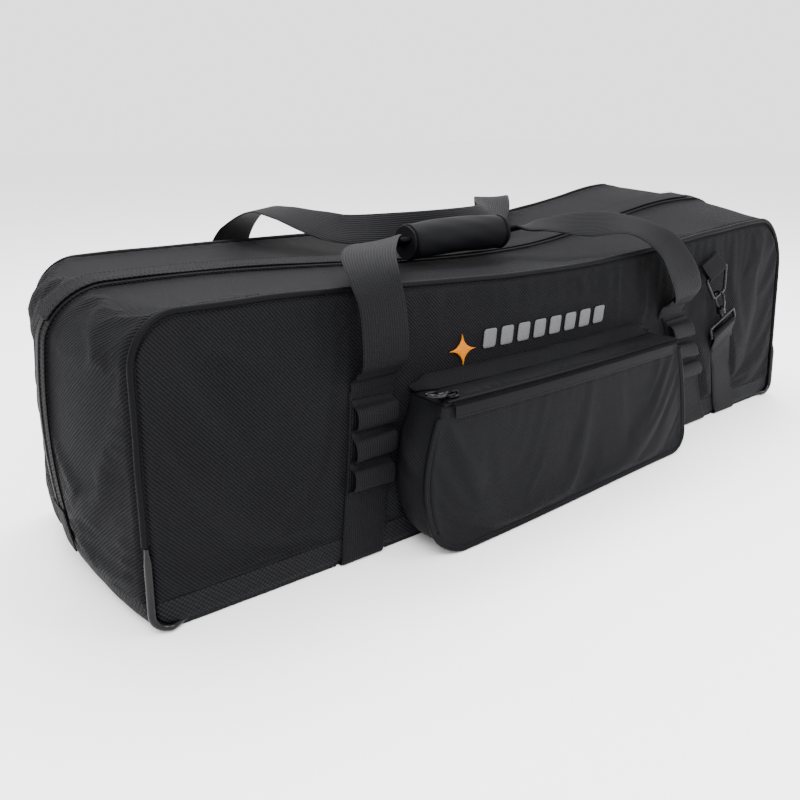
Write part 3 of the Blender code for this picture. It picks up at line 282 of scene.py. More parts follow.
def grid_normals(grid, outward):
    """Normals of a grid of points, all on the side of the outward direction."""
    normals = unit(np.cross(np.gradient(grid, axis=0), np.gradient(grid, axis=1)))
    if np.sum(normals * np.asarray(outward)) < 0.0:
        normals = -normals
    return normals


def grid_solid(name, grid, normals, thickness, material, weave):
    """Closed cloth of a thickness under a grid of outer points."""
    wide, tall = grid.shape[:2]
    back = grid - normals * thickness
    points = np.concatenate([grid.reshape(-1, 3), back.reshape(-1, 3)])
    flat = np.concatenate([weave.reshape(-1, 2)] * 2)
    index = np.arange(wide * tall).reshape(wide, tall)
    under = index + wide * tall
    faces = quads(index[:-1, :-1], index[1:, :-1], index[1:, 1:], index[:-1, 1:])
    faces += quads(under[:-1, :-1], under[:-1, 1:], under[1:, 1:], under[1:, :-1])
    border = np.concatenate([index[:, 0], index[-1, 1:], index[-2::-1, -1], index[0, -2:0:-1]])
    lower = border + wide * tall
    faces += quads(border, np.roll(border, -1), np.roll(lower, -1), lower)
    return put_object(name, points, faces, material, flat)


def cloth(name, base, folds, thickness, material, weave, outward):
    """Cloth of a thickness on base points, moved out by folds (metres)."""
    lift = np.broadcast_to(folds, base.shape[:2])
    grid = base + grid_normals(base, outward) * lift[..., None]
    return grid_solid(name, grid, grid_normals(grid, outward), thickness, MATERIALS[material],
                      weave)


SETTLE_FRAMES = 14
SINK_LIMIT = 0.0026      # how far settled cloth may sink under its base


def settle(base, outward, grow, pressure, seed_lift, limit):
    """Lets a panel of cloth, slightly larger than its frame, settle between its sewn edges.

    Returns how far each point moved along the normal of the base, at most limit.
    """
    normals = grid_normals(base, outward)
    wide, tall = base.shape[:2]
    start = base + normals * seed_lift[..., None]
    index = np.arange(wide * tall).reshape(wide, tall)
    faces = quads(index[:-1, :-1], index[1:, :-1], index[1:, 1:], index[:-1, 1:])
    mesh = bpy.data.meshes.new("settling")
    mesh.from_pydata(start.reshape(-1, 3).tolist(), [], faces)
    cloth_object = add_object("settling", mesh)
    sewn = np.concatenate([index[:, 0], index[:, -1], index[0, :], index[-1, :]])
    group = cloth_object.vertex_groups.new(name="sewn")
    group.add([int(i) for i in sewn], 1.0, "REPLACE")
    modifier = cloth_object.modifiers.new("cloth", "CLOTH")
    settings = modifier.settings
    settings.vertex_group_mass = "sewn"
    settings.quality = 6
    settings.mass = 0.25
    settings.tension_stiffness = 25.0
    settings.compression_stiffness = 25.0
    settings.shear_stiffness = 8.0
    settings.bending_stiffness = 0.6
    settings.shrink_min = -grow
    settings.use_pressure = True
    settings.uniform_pressure_force = pressure
    settings.effector_weights.gravity = 0.25
    modifier.collision_settings.use_collision = False
    modifier.point_cache.frame_end = SETTLE_FRAMES + 1
    scene = bpy.context.scene
    for step in range(1, SETTLE_FRAMES + 1):
        scene.frame_set(step)
    shape = cloth_object.evaluated_get(bpy.context.evaluated_depsgraph_get())
    settled = np.zeros(wide * tall * 3)
    shape.data.vertices.foreach_get("co", settled)
    moved = settled.reshape(wide, tall, 3) - base
    bpy.data.objects.remove(cloth_object)
    scene.frame_set(1)
    lift = np.sum(moved * normals, -1)
    return np.where(lift > 0.0, limit * np.tanh(lift / limit),
                    SINK_LIMIT * np.tanh(lift / SINK_LIMIT))


def web_section(tip):
    """Shares of the width and thickness round webbing, which is thicker beside its round edges."""
    shares = np.array([-1.0, -0.97, -0.90, -0.5, 0.0, 0.5, 0.90, 0.97, 1.0])
    heights = np.array([tip, 0.55, 1.0, 0.96, 0.94, 0.96, 1.0, 0.55, tip])
    return np.concatenate([shares, shares[::-1]]), np.concatenate([heights, -heights[::-1]])


def ribbon(name, path, across, width, thick, material="webbing", laid=False, twist_free=False):
    """A band along a path. A laid band's points are on the plain box and are slumped with it."""
    path = np.asarray(path, float)
    across = np.broadcast_to(np.asarray(across, float), path.shape)
    width = np.broadcast_to(np.asarray(width, float), (len(path),))
    thick = np.broadcast_to(np.asarray(thick, float), (len(path),))
    along = unit(np.gradient(path, axis=0))
    side = across
    if twist_free:
        side = unit(across - along * np.sum(across * along, -1, keepdims=True))
    out = unit(np.cross(along, side))
    share, height = web_section(0.275)
    rings = (path[:, None] + side[:, None] * (0.5 * width[:, None] * share)[..., None]
             + out[:, None] * (0.5 * thick[:, None] * height)[..., None])
    if laid:
        rings = slump(*np.moveaxis(rings, -1, 0))
    flat = on_flat(0.5 * width[:, None] * share, run_along(path)[:, None])
    return ring_solid(name, rings, material, flat)


def ring_solid(name, rings, material, flat=None, closed=False):
    """Closed solid through equal rings of points, capped unless the row of rings is closed."""
    count, sides = rings.shape[:2]
    index = np.arange(count * sides).reshape(count, sides)
    here = index if closed else index[:-1]
    there = np.roll(index, -1, axis=0) if closed else index[1:]
    faces = quads(here, np.roll(here, -1, axis=1), np.roll(there, -1, axis=1), there)
    if not closed:
        faces += [index[0].tolist(), index[-1].tolist()]
    weave = None if flat is None else flat.reshape(-1, 2)
    return put_object(name, rings.reshape(-1, 3), faces, MATERIALS[material], weave)


def smooth_path(points, steps):
    """Catmull-Rom curve through rows of numbers, with steps stretches between each two."""
    knots = np.asarray(points, float)
    knots = np.concatenate([[2.0 * knots[0] - knots[1]], knots, [2.0 * knots[-1] - knots[-2]]])
    share = np.linspace(0.0, 1.0, steps, endpoint=False)[:, None]
    rows = []
    for before, start, end, after in zip(knots[:-3], knots[1:-2], knots[2:-1], knots[3:]):
        rows.append(0.5 * (2.0 * start + (end - before) * share
                           + (2.0 * before - 5.0 * start + 4.0 * end - after) * share ** 2
                           + (3.0 * start - before - 3.0 * end + after) * share ** 3))
    return np.concatenate([*rows, knots[-2:-1]])


def tube(name, path, radius, material, closed=False, sides=14, radii=None):
    """Round cord or wire along a path, with its rings turned without twist."""
    path = np.asarray(path, float)
    ahead = np.roll(path, -1, axis=0) - np.roll(path, 1, axis=0) if closed else \
        np.gradient(path, axis=0)
    along = unit(ahead)
    side = np.cross(along[0], (0.0, 0.0, 1.0))
    if np.linalg.norm(side) < 0.1:
        side = np.cross(along[0], (0.0, 1.0, 0.0))
    sides_out = []
    for direction in along:
        side = unit(side - direction * np.dot(side, direction))
        sides_out.append(side)
    side = np.array(sides_out)
    up = np.cross(side, along)
    angles = np.linspace(0.0, 2.0 * math.pi, sides, endpoint=False)
    radius = np.broadcast_to(radius if radii is None else radii, (len(path),))
    reach = radius[:, None, None]
    rings = (path[:, None] + reach * np.cos(angles)[:, None] * side[:, None]
             + reach * np.sin(angles)[:, None] * up[:, None])
    flat = on_flat(angles * radius[:, None], run_along(path)[:, None])
    return ring_solid(name, rings, material, flat, closed)


STITCH_PITCH, STITCH_LENGTH, STITCH_RADIUS = 0.0042, 0.0030, 0.00042
STITCH_SHAPE = np.array([(-0.5, 0.0, -0.2), (-0.18, 1.0, 0.0), (-0.18, 0.0, 1.0),
                         (-0.18, -1.0, 0.0), (0.18, 1.0, 0.0), (0.18, 0.0, 1.0),
                         (0.18, -1.0, 0.0), (0.5, 0.0, -0.2), (0.0, 0.0, -0.6)])
STITCH_SIDES = ((0, 2, 1), (0, 3, 2), (1, 2, 5, 4), (2, 3, 6, 5), (4, 5, 7), (5, 6, 7),
                (0, 1, 8), (1, 4, 8), (4, 7, 8), (0, 8, 3), (3, 8, 6), (6, 8, 7))


def stitches(name, rows, body):
    """Sewn rows: each row is (points, outward directions) of a line lying on the cloth."""
    points = []
    faces = []
    for line, out in rows:
        line = np.asarray(line, float)
        out = np.broadcast_to(np.asarray(out, float), line.shape)
        run = run_along(line)
        places = np.arange(0.5 * STITCH_PITCH, run[-1], STITCH_PITCH)
        centre, ahead, behind, up = (
            np.stack([np.interp(places + shift, run, values[:, k]) for k in range(3)], -1)
            for shift, values in ((0.0, line), (0.001, line), (-0.001, line), (0.0, out)))
        along = unit(ahead - behind)
        side = unit(np.cross(up, along))
        up = np.cross(along, side)
        for c, a, s, u in zip(centre, along, side, up):
            first = len(points)
            for p in STITCH_SHAPE:
                points.append(c + a * p[0] * STITCH_LENGTH
                              + (s * p[1] + u * (p[2] + 0.25)) * STITCH_RADIUS)
            faces += [tuple(first + i for i in face) for face in STITCH_SIDES]
    thread = put_object(name, points, faces, MATERIALS["thread"], smooth=False)
    finish_piece(thread, body)


def zipper_teeth(name, bars, body):
    """Zipper teeth in one mesh; each small bar is two rings of six points, one after the other."""
    faces = []
    for first in range(0, 12 * len(bars), 12):
        for k in range(6):
            after = (k + 1) % 6
            faces.append((first + k, first + after, first + 6 + after, first + 6 + k))
        faces.append(tuple(range(first, first + 6)))
        faces.append(tuple(range(first + 6, first + 12)))
    points = [point for bar in bars for point in bar]
    teeth = put_object(name, points, faces, MATERIALS["trim"], smooth=False)
    finish_piece(teeth, body)


# ---------------------------------------------------------------- materials
class Maker:
    """Builds one node material around its Principled shader."""

    def __init__(self, name, colour, roughness, metallic=0.0, coat=0.0, specular=0.5):
        self.material = bpy.data.materials.new(name)
        self.material.use_nodes = True
        self.tree = self.material.node_tree
        self.shader = self.tree.nodes["Principled BSDF"]
        self.set("Base Color", (*colour, 1.0))
        self.set("Roughness", roughness)
        self.set("Metallic", metallic)
        self.set("Coat Weight", coat)
        self.set("Specular IOR Level", specular)

    def set(self, socket, value):
        self.shader.inputs[socket].default_value = value

    def node(self, kind, **inputs):
        node = self.tree.nodes.new(kind)
        for name, value in inputs.items():
            self.feed(node.inputs[name.replace("_", " ")], value)
        return node

    def feed(self, socket, value):
        if isinstance(value, bpy.types.NodeSocket):
            self.tree.links.new(value, socket)
        else:
            socket.default_value = value

    def math(self, operation, first, second=0.0):
        node = self.tree.nodes.new("ShaderNodeMath")
        node.operation = operation
        self.feed(node.inputs[0], first)
        self.feed(node.inputs[1], second)
        return node.outputs[0]

    def wave(self, u, v, across, along):
        """sin of 2 pi (u / across + v / along); a pitch of 0 leaves that direction out."""
        total = self.math("MULTIPLY", u, 2.0 * math.pi / across if across else 0.0)
        total = self.math("ADD", total,
                          self.math("MULTIPLY", v, 2.0 * math.pi / along if along else 0.0))
        return self.math("SINE", total)

    def flat_place(self):
        attribute = self.node("ShaderNodeAttribute")
        attribute.attribute_name = "weave"
        split = self.node("ShaderNodeSeparateXYZ", Vector=attribute.outputs["Vector"])
        return split.outputs["X"], split.outputs["Y"]

    def noise(self, scale, detail):
        place = self.node("ShaderNodeTexCoord").outputs["Object"]
        node = self.node("ShaderNodeTexNoise", Vector=place, Scale=scale, Detail=detail,
                         Roughness=0.55)
        return node.outputs["Fac"]

    def ramp(self, share, low, high, start, end):
        """Number that goes from start to end as share goes from low to high."""
        node = self.node("ShaderNodeMapRange", Value=share, From_Min=low, From_Max=high,
                         To_Min=start, To_Max=end)
        return node.outputs["Result"]

    def colour(self, share, dark, light):
        node = self.tree.nodes.new("ShaderNodeMix")
        node.data_type = "RGBA"
        self.feed(node.inputs[0], share)
        self.feed(node.inputs[6], (*dark, 1.0))
        self.feed(node.inputs[7], (*light, 1.0))
        self.feed(self.shader.inputs["Base Color"], node.outputs[2])

    def bump(self, height, strength, distance):
        node = self.node("ShaderNodeBump", Strength=strength, Distance=distance, Height=height)
        self.feed(self.shader.inputs["Normal"], node.outputs["Normal"])


def woven(name, kind, pitch, dark, light, roughness, strength, distance, dust=0.25,
          specular=0.06):
    """Cloth whose threads follow the flat place of each point: twill, basket, rib or satin."""
    maker = Maker(name, dark, roughness, specular=specular)
    u, v = maker.flat_place()
    if kind == "twill":
        wale = maker.wave(u, v, pitch, 1.15 * pitch)
        float_end = maker.wave(u, v, -1.9 * pitch, 0.62 * pitch)
        height = maker.math("ADD", maker.math("MULTIPLY", wale, 0.38),
                            maker.math("MULTIPLY", float_end, 0.12))
    elif kind == "basket":
        height = maker.math("MULTIPLY", maker.wave(u, v, pitch, 0.0),
                            maker.wave(u, v, 0.0, pitch))
        height = maker.math("MULTIPLY", height, 0.5)
    elif kind == "rib":
        ribs = maker.wave(u, v, pitch, 0.0)
        picks = maker.wave(u, v, 3.0 * pitch, 0.62 * pitch)
        height = maker.math("ADD", maker.math("MULTIPLY", ribs, 0.32),
                            maker.math("MULTIPLY", picks, 0.18))
    else:
        height = maker.math("MULTIPLY", maker.wave(u, v, 2.2 * pitch, pitch), 0.5)
    height = maker.math("ADD", height, 0.5)
    fuzz = maker.noise(900.0, 2.0)
    patch = maker.noise(9.0, 4.0)
    share = maker.math("MULTIPLY", height, 1.0 - dust)
    share = maker.math("ADD", share, maker.math("MULTIPLY", patch, dust))
    share = maker.math("MULTIPLY", share, maker.ramp(fuzz, 0.3, 0.7, 0.7, 1.2))
    maker.colour(share, dark, light)
    maker.feed(maker.shader.inputs["Roughness"],
               maker.ramp(height, 0.0, 1.0, min(roughness + 0.08, 1.0), roughness - 0.06))
    surface = maker.math("ADD", height, maker.math("MULTIPLY", fuzz, 0.35))
    maker.bump(surface, strength, distance)
    return maker.material


def smooth_hard(name, dark, light, roughness, metallic=0.0, coat=0.0, strength=0.08):
    """Moulded, enamelled or cast surface with a faint grain and worn, uneven gloss."""
    maker = Maker(name, dark, roughness, metallic=metallic, coat=coat, specular=0.12)
    patch = maker.noise(45.0, 5.0)
    maker.colour(maker.ramp(patch, 0.35, 0.75, 0.0, 1.0), dark, light)
    maker.feed(maker.shader.inputs["Roughness"],
               maker.ramp(patch, 0.3, 0.7, roughness - 0.06, roughness + 0.10))
    maker.bump(maker.noise(260.0, 3.0), strength, 0.0004)
    return maker.material


def make_materials():
    """Every material by its name."""
    rows = (
        (woven, "fabric", "twill", 0.0037, (0.0007, 0.0007, 0.0010), (0.0078, 0.0078, 0.0092),
         0.68, 0.95, 0.0011),
        (woven, "base_fabric", "basket", 0.0048, (0.0007, 0.0007, 0.0009),
         (0.0105, 0.0105, 0.0125), 0.60, 0.9, 0.0012, 0.15),
        (woven, "pocket_fabric", "twill", 0.0030, (0.0009, 0.0009, 0.0012),
         (0.0060, 0.0060, 0.0074), 0.68, 0.50, 0.0005),
        (woven, "webbing", "rib", 0.0026, (0.0008, 0.0008, 0.0010), (0.0066, 0.0066, 0.0080),
         0.58, 0.80, 0.0007),
        (woven, "foam", "basket", 0.0022, (0.008, 0.008, 0.009), (0.025, 0.025, 0.028),
         0.85, 0.4, 0.0004),
        (smooth_hard, "board", (0.012, 0.011, 0.010), (0.022, 0.021, 0.019), 0.6, 0.0, 0.0, 0.15),
        (woven, "trim", "satin", 0.0022, (0.0006, 0.0006, 0.0008), (0.0030, 0.0030, 0.0038),
         0.48, 0.35, 0.0003, 0.25, 0.05),
        (smooth_hard, "guard", (0.0015, 0.0015, 0.0020), (0.0040, 0.0040, 0.0045), 0.26, 0.0, 0.10),
        (woven, "tape", "twill", 0.0022, (0.0006, 0.0006, 0.0008), (0.0042, 0.0042, 0.0052),
         0.55, 0.35, 0.0003),
        (smooth_hard, "hardware", (0.006, 0.006, 0.007), (0.018, 0.018, 0.021), 0.22, 0.85, 0.0,
         0.05),
        (woven, "grip", "twill", 0.0026, (0.0008, 0.0008, 0.0011), (0.0070, 0.0070, 0.0088),
         0.60, 0.45, 0.0005),
        (woven, "emblem_orange", "satin", 0.0016, (0.22, 0.055, 0.0008), (0.50, 0.165, 0.0040),
         0.50, 0.5, 0.0003, 0.1),
        (woven, "emblem_grey", "satin", 0.0016, (0.040, 0.040, 0.043), (0.120, 0.120, 0.126),
         0.45, 0.5, 0.0003, 0.1),
        (smooth_hard, "thread", (0.0012, 0.0012, 0.0015), (0.0045, 0.0045, 0.0055), 0.6),
    )
    return {name: make(name, *values) for make, name, *values in rows}


MATERIALS = make_materials()


# ---------------------------------------------------------------- panels of the shell
def face_columns(inset):
    left = -END + TOP_RADIUS_LEFT - (TOP_RADIUS_LEFT - inset) * np.sin(
        np.radians(np.linspace(90.0, 6.0, 12)))
    right = END - TOP_RADIUS_RIGHT + (TOP_RADIUS_RIGHT - inset) * np.sin(
        np.radians(np.linspace(6.0, 90.0, 16)))
    middle = np.arange(-END + TOP_RADIUS_LEFT, END - TOP_RADIUS_RIGHT, STEP)
    return np.concatenate([left, middle, right])


def face_rows(count):
    """Even shares of the height, closer together at both edges."""
    edge = np.array([0.0, 0.008, 0.018])
    return np.concatenate([edge, np.linspace(0.032, 0.968, count), 1.0 - edge[::-1]])


def face_grid(inset, lowest, highest, shares):
    """Grid of x and z over a face of the plain box, with the low and high z of its columns."""
    x = face_columns(inset)[:, None]
    low = np.maximum(corner_drop(x, BASE_RADIUS, BASE_RADIUS, inset), lowest)
    top = HEIGHT - corner_drop(x, TOP_RADIUS_LEFT, TOP_RADIUS_RIGHT, inset)
    high = top if highest is None else highest
    z = low + (high - low) * shares[None, :]
    return np.broadcast_to(x, z.shape), z, low, high


def edge_roll(distance, reach, depth):
    """Cloth turning in towards a seam."""
    return -depth * np.clip(1.0 - distance / reach, 0.0, 1.0) ** 2


FRONT_FOLDS = (
    ((-0.462, 0.240), (-0.345, 0.075), 0.020, 0.0032), ((-0.470, 0.252), (-0.300, 0.225), 0.016, 0.0026),
    ((-0.430, 0.235), (-0.375, 0.060), 0.015, -0.0026),
    ((-0.470, 0.262), (-0.350, 0.205), 0.012, 0.0030), ((-0.478, 0.245), (-0.405, 0.130), 0.013, 0.0028),
    ((-0.455, 0.250), (-0.330, 0.150), 0.010, -0.0022), ((-0.440, 0.268), (-0.320, 0.252), 0.009, 0.0018),
    ((-0.490, 0.190), (-0.430, 0.060), 0.012, 0.0022), ((-0.410, 0.060), (-0.330, 0.120), 0.014, 0.0020),
    ((-0.490, 0.060), (-0.380, 0.045), 0.010, -0.0018), ((-0.262, 0.262), (-0.215, 0.180), 0.010, 0.0020),
    ((-0.255, 0.100), (-0.242, 0.185), 0.008, -0.0018), ((0.090, 0.262), (-0.020, 0.245), 0.010, 0.0016),
    ((0.155, 0.195), (0.085, 0.262), 0.010, 0.0020), ((0.240, 0.262), (0.215, 0.190), 0.010, 0.0018),
    ((0.330, 0.235), (0.400, 0.120), 0.014, 0.0026), ((0.430, 0.225), (0.455, 0.090), 0.012, -0.0020),
    ((0.440, 0.240), (0.380, 0.205), 0.010, 0.0018), ((0.300, 0.050), (0.310, 0.120), 0.010, 0.0016),
)


def leg_cover(x, z, fade):
    """1 under the webbing legs, down to 0 at the distance fade from their middles."""
    cover = np.zeros(np.broadcast(x, z).shape)
    for _, ground, lean in LEGS:
        beside = np.abs(x - leg_x(ground, lean, z))
        cover = np.maximum(cover, (1.0 - ease(beside, 0.026, fade)) * (1.0 - ease(z, 0.19, 0.21)))
    return cover


def covered(x, z):
    """1 where something is sewn on the front panel, so that it can't stand out there."""
    cover = leg_cover(x, z, 0.040)
    beside = np.abs(x - leg_x(STRAP_X, STRAP_LEAN, z))
    cover = np.maximum(cover, (1.0 - ease(beside, 0.026, 0.036)) * (1.0 - ease(z, 0.23, 0.245)))
    pocket = (1.0 - ease(np.abs(x + 0.0255), 0.212, 0.226)) * (1.0 - ease(z, 0.176, 0.190))
    emblem = (1.0 - ease(np.abs(x + 0.056), 0.130, 0.150)) * ease(z, 0.170, 0.185) * (
        1.0 - ease(z, 0.238, 0.252))
    return np.maximum(np.maximum(cover, pocket), emblem)


def face_cloth(node, sign, body, folds, cover, seed):
    """Front or rear panel, with its folds, its gathers at the piping and its turned-in edge."""
    x, z, low, high = face_grid(FACE_INSET, RIM - 0.0008, None, face_rows(46))
    base = slump(x, sign * 0.5 * DEPTH, z)
    side = END - FACE_INSET - np.abs(x)
    piped = np.minimum(side, high - z)
    lift = 1.6 * sum(fold(x, z, *f) for f in folds) + 0.0011 * ripple(x, z, 0.16, seed)
    lift = lift + 0.0004 * ripple(x, z, 0.05, seed + 2)
    lift = lift + puckers(x + z, high - z, 0.021, 0.016, 0.0011, seed)
    lift = lift + puckers(z, side, 0.019, 0.014, 0.0010, seed + 1)
    lift = settle(base, (0.0, sign, 0.0), 0.012, 1.2, lift, 0.008)
    lift = np.where(lift > 0.0, lift * (1.0 - cover(x, z)), lift * (1.0 - 0.7 * cover(x, z)))
    lift = lift * ease(np.minimum(piped, z - low), 0.0, 0.012)
    lift = lift + edge_roll(piped, 0.0055, 0.0040)
    if body == "bag":
        lift = lift + edge_roll(z - low, 0.004, 0.0015)
    panel = cloth(node + "_cloth", base, lift, SHELL_CLOTH, "fabric", on_flat(x, z),
                  (0.0, sign, 0.0))
    finish_piece(panel, body, [node])


BACK_FOLDS = (
    ((-0.470, 0.260), (-0.330, 0.180), 0.012, 0.0026), ((-0.480, 0.060), (-0.400, 0.140), 0.012, 0.0022),
    ((-0.200, 0.070), (0.050, 0.055), 0.014, 0.0020), ((0.440, 0.250), (0.330, 0.190), 0.012, 0.0024),
    ((-0.150, 0.250), (0.060, 0.235), 0.013, -0.0020), ((0.445, 0.150), (0.400, 0.060), 0.012, 0.0020),
)


def back_covered(x, z):
    """1 where something is sewn on the rear panel."""
    cover = leg_cover(x, z, 0.038)
    strap_z = 0.1378 - 0.0854 * (x + 0.247)
    band = (1.0 - ease(np.abs(z - strap_z), 0.028, 0.042)) * ease(x, -0.42, -0.40)
    corner = ease(x, 0.30, 0.33) * (1.0 - ease(x, 0.40, 0.42)) * (1.0 - ease(z, 0.10, 0.12))
    return np.maximum(np.maximum(cover, band), corner)


LEFT_END_FOLDS = (
    ((0.10, -0.105), (0.19, -0.030), 0.011, 0.0030), ((0.05, -0.050), (0.20, -0.095), 0.010, -0.0022),
    ((0.20, -0.115), (0.27, -0.050), 0.012, 0.0026), ((0.03, -0.120), (0.12, -0.085), 0.012, 0.0020),
    ((0.16, -0.012), (0.26, -0.020), 0.006, -0.0020), ((0.24, -0.030), (0.34, -0.085), 0.012, 0.0028),
    ((0.30, -0.120), (0.42, -0.060), 0.013, 0.0022), ((0.27, -0.075), (0.40, -0.110), 0.009, -0.0018),
)


def band_cloth(name, sign, body, folds, nodes, seed):
    """The band of cloth that runs up one end, over the top and down the other end."""
    stations = outline(RIM - 0.0008)
    y_edge = 0.5 * DEPTH - 0.0052
    rows = np.concatenate([[0.0012, 0.003, 0.006], np.linspace(0.011, y_edge - 0.008, 26),
                           [y_edge - 0.005, y_edge - 0.0025, y_edge]])
    y = sign * rows
    base = on_outline(stations, y, 0.0)
    run = np.broadcast_to(stations[:, 4][:, None], base.shape[:2])
    rise = np.broadcast_to(y[None, :], base.shape[:2])
    outward = base - BAND_CENTRE
    piped = y_edge - np.abs(rise)
    zipped = np.abs(rise)
    lift = 1.3 * sum(fold(run, rise, *f) for f in folds) + 0.0012 * ripple(run, rise, 0.15, seed)
    lift = lift + 0.0005 * ripple(run, rise, 0.045, seed + 1)
    lift = lift + puckers(run, piped, 0.017, 0.017, 0.0014, seed)
    lift = lift + puckers(run, zipped, 0.024, 0.020, 0.0008, seed + 2)
    lift = settle(base, outward, 0.014, 0.6, lift, 0.008)
    lift = np.where(lift > 0.0, lift * ease(zipped, 0.016, 0.030), lift * ease(zipped, 0.0, 0.03))
    floor_end = np.minimum(stations[:, 4], stations[-1, 4] - stations[:, 4])[:, None]
    lift = lift * ease(np.minimum(piped, floor_end), 0.0, 0.012)
    lift = lift + edge_roll(piped, 0.0055, 0.0040)
    band = cloth(name, base, lift, SHELL_CLOTH, "fabric", on_flat(run, rise), outward)
    finish_piece(band, body, nodes)


def build_shell():
    face_cloth("front_panel", -1.0, "bag", FRONT_FOLDS, covered, 1)
    face_cloth("back_panel", 1.0, "lid", BACK_FOLDS, back_covered, 4)
    band_cloth("front_band", -1.0, "bag", LEFT_END_FOLDS,
               ["top_front", "left_end_front", "right_end_front"], 2)
    rear_folds = [((a, -b), (c, -d), w, 0.9 * h) for (a, b), (c, d), w, h in LEFT_END_FOLDS]
    band_cloth("rear_band", 1.0, "lid", rear_folds,
               ["top_rear", "left_end_rear", "right_end_rear"], 3)


# ---------------------------------------------------------------- base
def across_base(wide, count):
    """Places across the base, closer together at both edges."""
    return np.concatenate([[-wide, -wide + 0.003], np.linspace(-wide + 0.008, wide - 0.008, count),
                           [wide - 0.003, wide]])


def build_base():
    """Coarse tray: strips below both faces, turned-up ends and the panel under the case."""
    for sign, name in ((-1.0, "front_base_strip"), (1.0, "back_base_strip")):
        x, z, low, _ = face_grid(FACE_INSET, 0.0050, RIM + 0.0002, np.linspace(0.0, 1.0, 9))
        lift = 0.0006 * ripple(x, z, 0.06, 5) * ease(z - low, 0.0, 0.006)
        lift = lift + edge_roll(END - FACE_INSET - np.abs(x), 0.0055, 0.004)
        lift = lift + edge_roll(z - low, 0.007, 0.0030) - 0.0004
        base = slump(x, sign * 0.5 * DEPTH, z)
        strip = cloth(name + "_cloth", base, lift, SHELL_CLOTH, "base_fabric", on_flat(x, z),
                      (0.0, sign, 0.0))
        finish_piece(strip, "bag", [name])
    wide = 0.5 * DEPTH - 0.0035
    side = end_side(RIM + 0.0002, 0.5 * (RIM + BASE_RADIUS), 2)
    stations = np.array(side + base_corner(BASE_RADIUS - 0.0006, 14))
    run = np.arange(len(stations))[:, None] * 0.0026
    y = across_base(wide, 40)
    for name, mirror in (("left_base_cap", 1.0), ("right_base_cap", -1.0)):
        turned = stations * (mirror, 1.0, mirror, 1.0)
        base = on_outline(turned, y, 0.0)
        edge = np.minimum(y + wide, wide - y)[None, :]
        rise = np.broadcast_to(y[None, :], base.shape[:2])
        lift = 0.0005 * ripple(run, rise, 0.05, 7) * ease(edge, 0.0, 0.01)
        lift = lift * ease(stations[:, 1][:, None], 0.0, 0.01) + edge_roll(edge, 0.006, 0.003)
        cap = cloth(name + "_cloth", base, lift, SHELL_CLOTH, "base_fabric", on_flat(run, rise),
                    (-mirror, 0.0, 0.0))
        finish_piece(cap, "bag", [name])
    build_base_panel(wide)


def build_base_panel(wide):
    """Panel under the case, with shallow channels for the webbing."""
    start = -END + BASE_RADIUS - 0.0004
    x = np.linspace(start, -start, 260)[:, None]
    y = across_base(wide, 50)[None, :]
    depth = np.zeros(x.shape)
    for centre in (LEFT_LEG_X, RIGHT_LEG_X, STRAP_X):
        beside = np.abs(x - centre)
        depth = np.maximum(depth, (WEB + 2.0 * GAP) * (1.0 - ease(beside, 0.026, 0.0295)))
    edge = np.minimum(wide - np.abs(y), 0.012)
    base = slump(x, y, depth)
    lift = np.minimum(0.0, 0.0003 * ripple(x, y, 0.05, 9) - 0.0003) - 0.0008 * (1.0 - edge / 0.012)
    panel = cloth("base_panel_cloth", base, lift, 0.0045, "base_fabric", on_flat(x, y),
                  (0.0, 0.0, -1.0))
    finish_piece(panel, "bag", ["base_panel"])


# ---------------------------------------------------------------- trim
def build_piping():
    """Corded piping round both faces, with a flange of cloth beside it."""
    for sign, name, body, low in ((-1.0, "front_piping", "bag", FRONT_PIPING_LOW),
                                  (1.0, "back_piping", "lid", RIM + 0.0008)):
        y = sign * (0.5 * DEPTH - 0.002)
        stations = outline(low)
        path = on_outline(stations, [y], 0.002)[:, 0]
        path = path + 0.0004 * np.stack([ripple(stations[:, 4], 0.0, 0.09, k) for k in (1, 2, 3)],
                                        -1)
        cord = tube(name + "_cord", path, PIPING_RADIUS, "trim", sides=12)
        finish_piece(cord, body, [name])
        path = on_outline(stations, [sign * (0.5 * DEPTH - 0.0050)], 0.0056)[:, 0]
        flange = tube(name + "_flange", path, 0.0034, "fabric", sides=8)
        finish_piece(flange, body)


def build_low_piping():
    """Piping of the lower corners, down to the base: at the front it runs under the guards."""
    corner = base_corner(BASE_RADIUS, 12)
    side = end_side(FRONT_PIPING_LOW, BASE_RADIUS + 0.004, 12)
    for name, mirror in (("left", 1.0), ("right", -1.0)):
        for sign, half, high in ((-1.0, "front", HEIGHT), (1.0, "back", RIM)):
            stations = np.array([s for s in side if s[1] < high] + corner)
            stations = stations * (mirror, 1.0, mirror, 1.0)
            path = on_outline(stations, [sign * (0.5 * DEPTH - 0.002)], 0.003)[:, 0]
            cord = tube("piping_low_" + half + "_" + name, path, 0.0027, "trim", sides=10)
            finish_piece(cord, "bag")


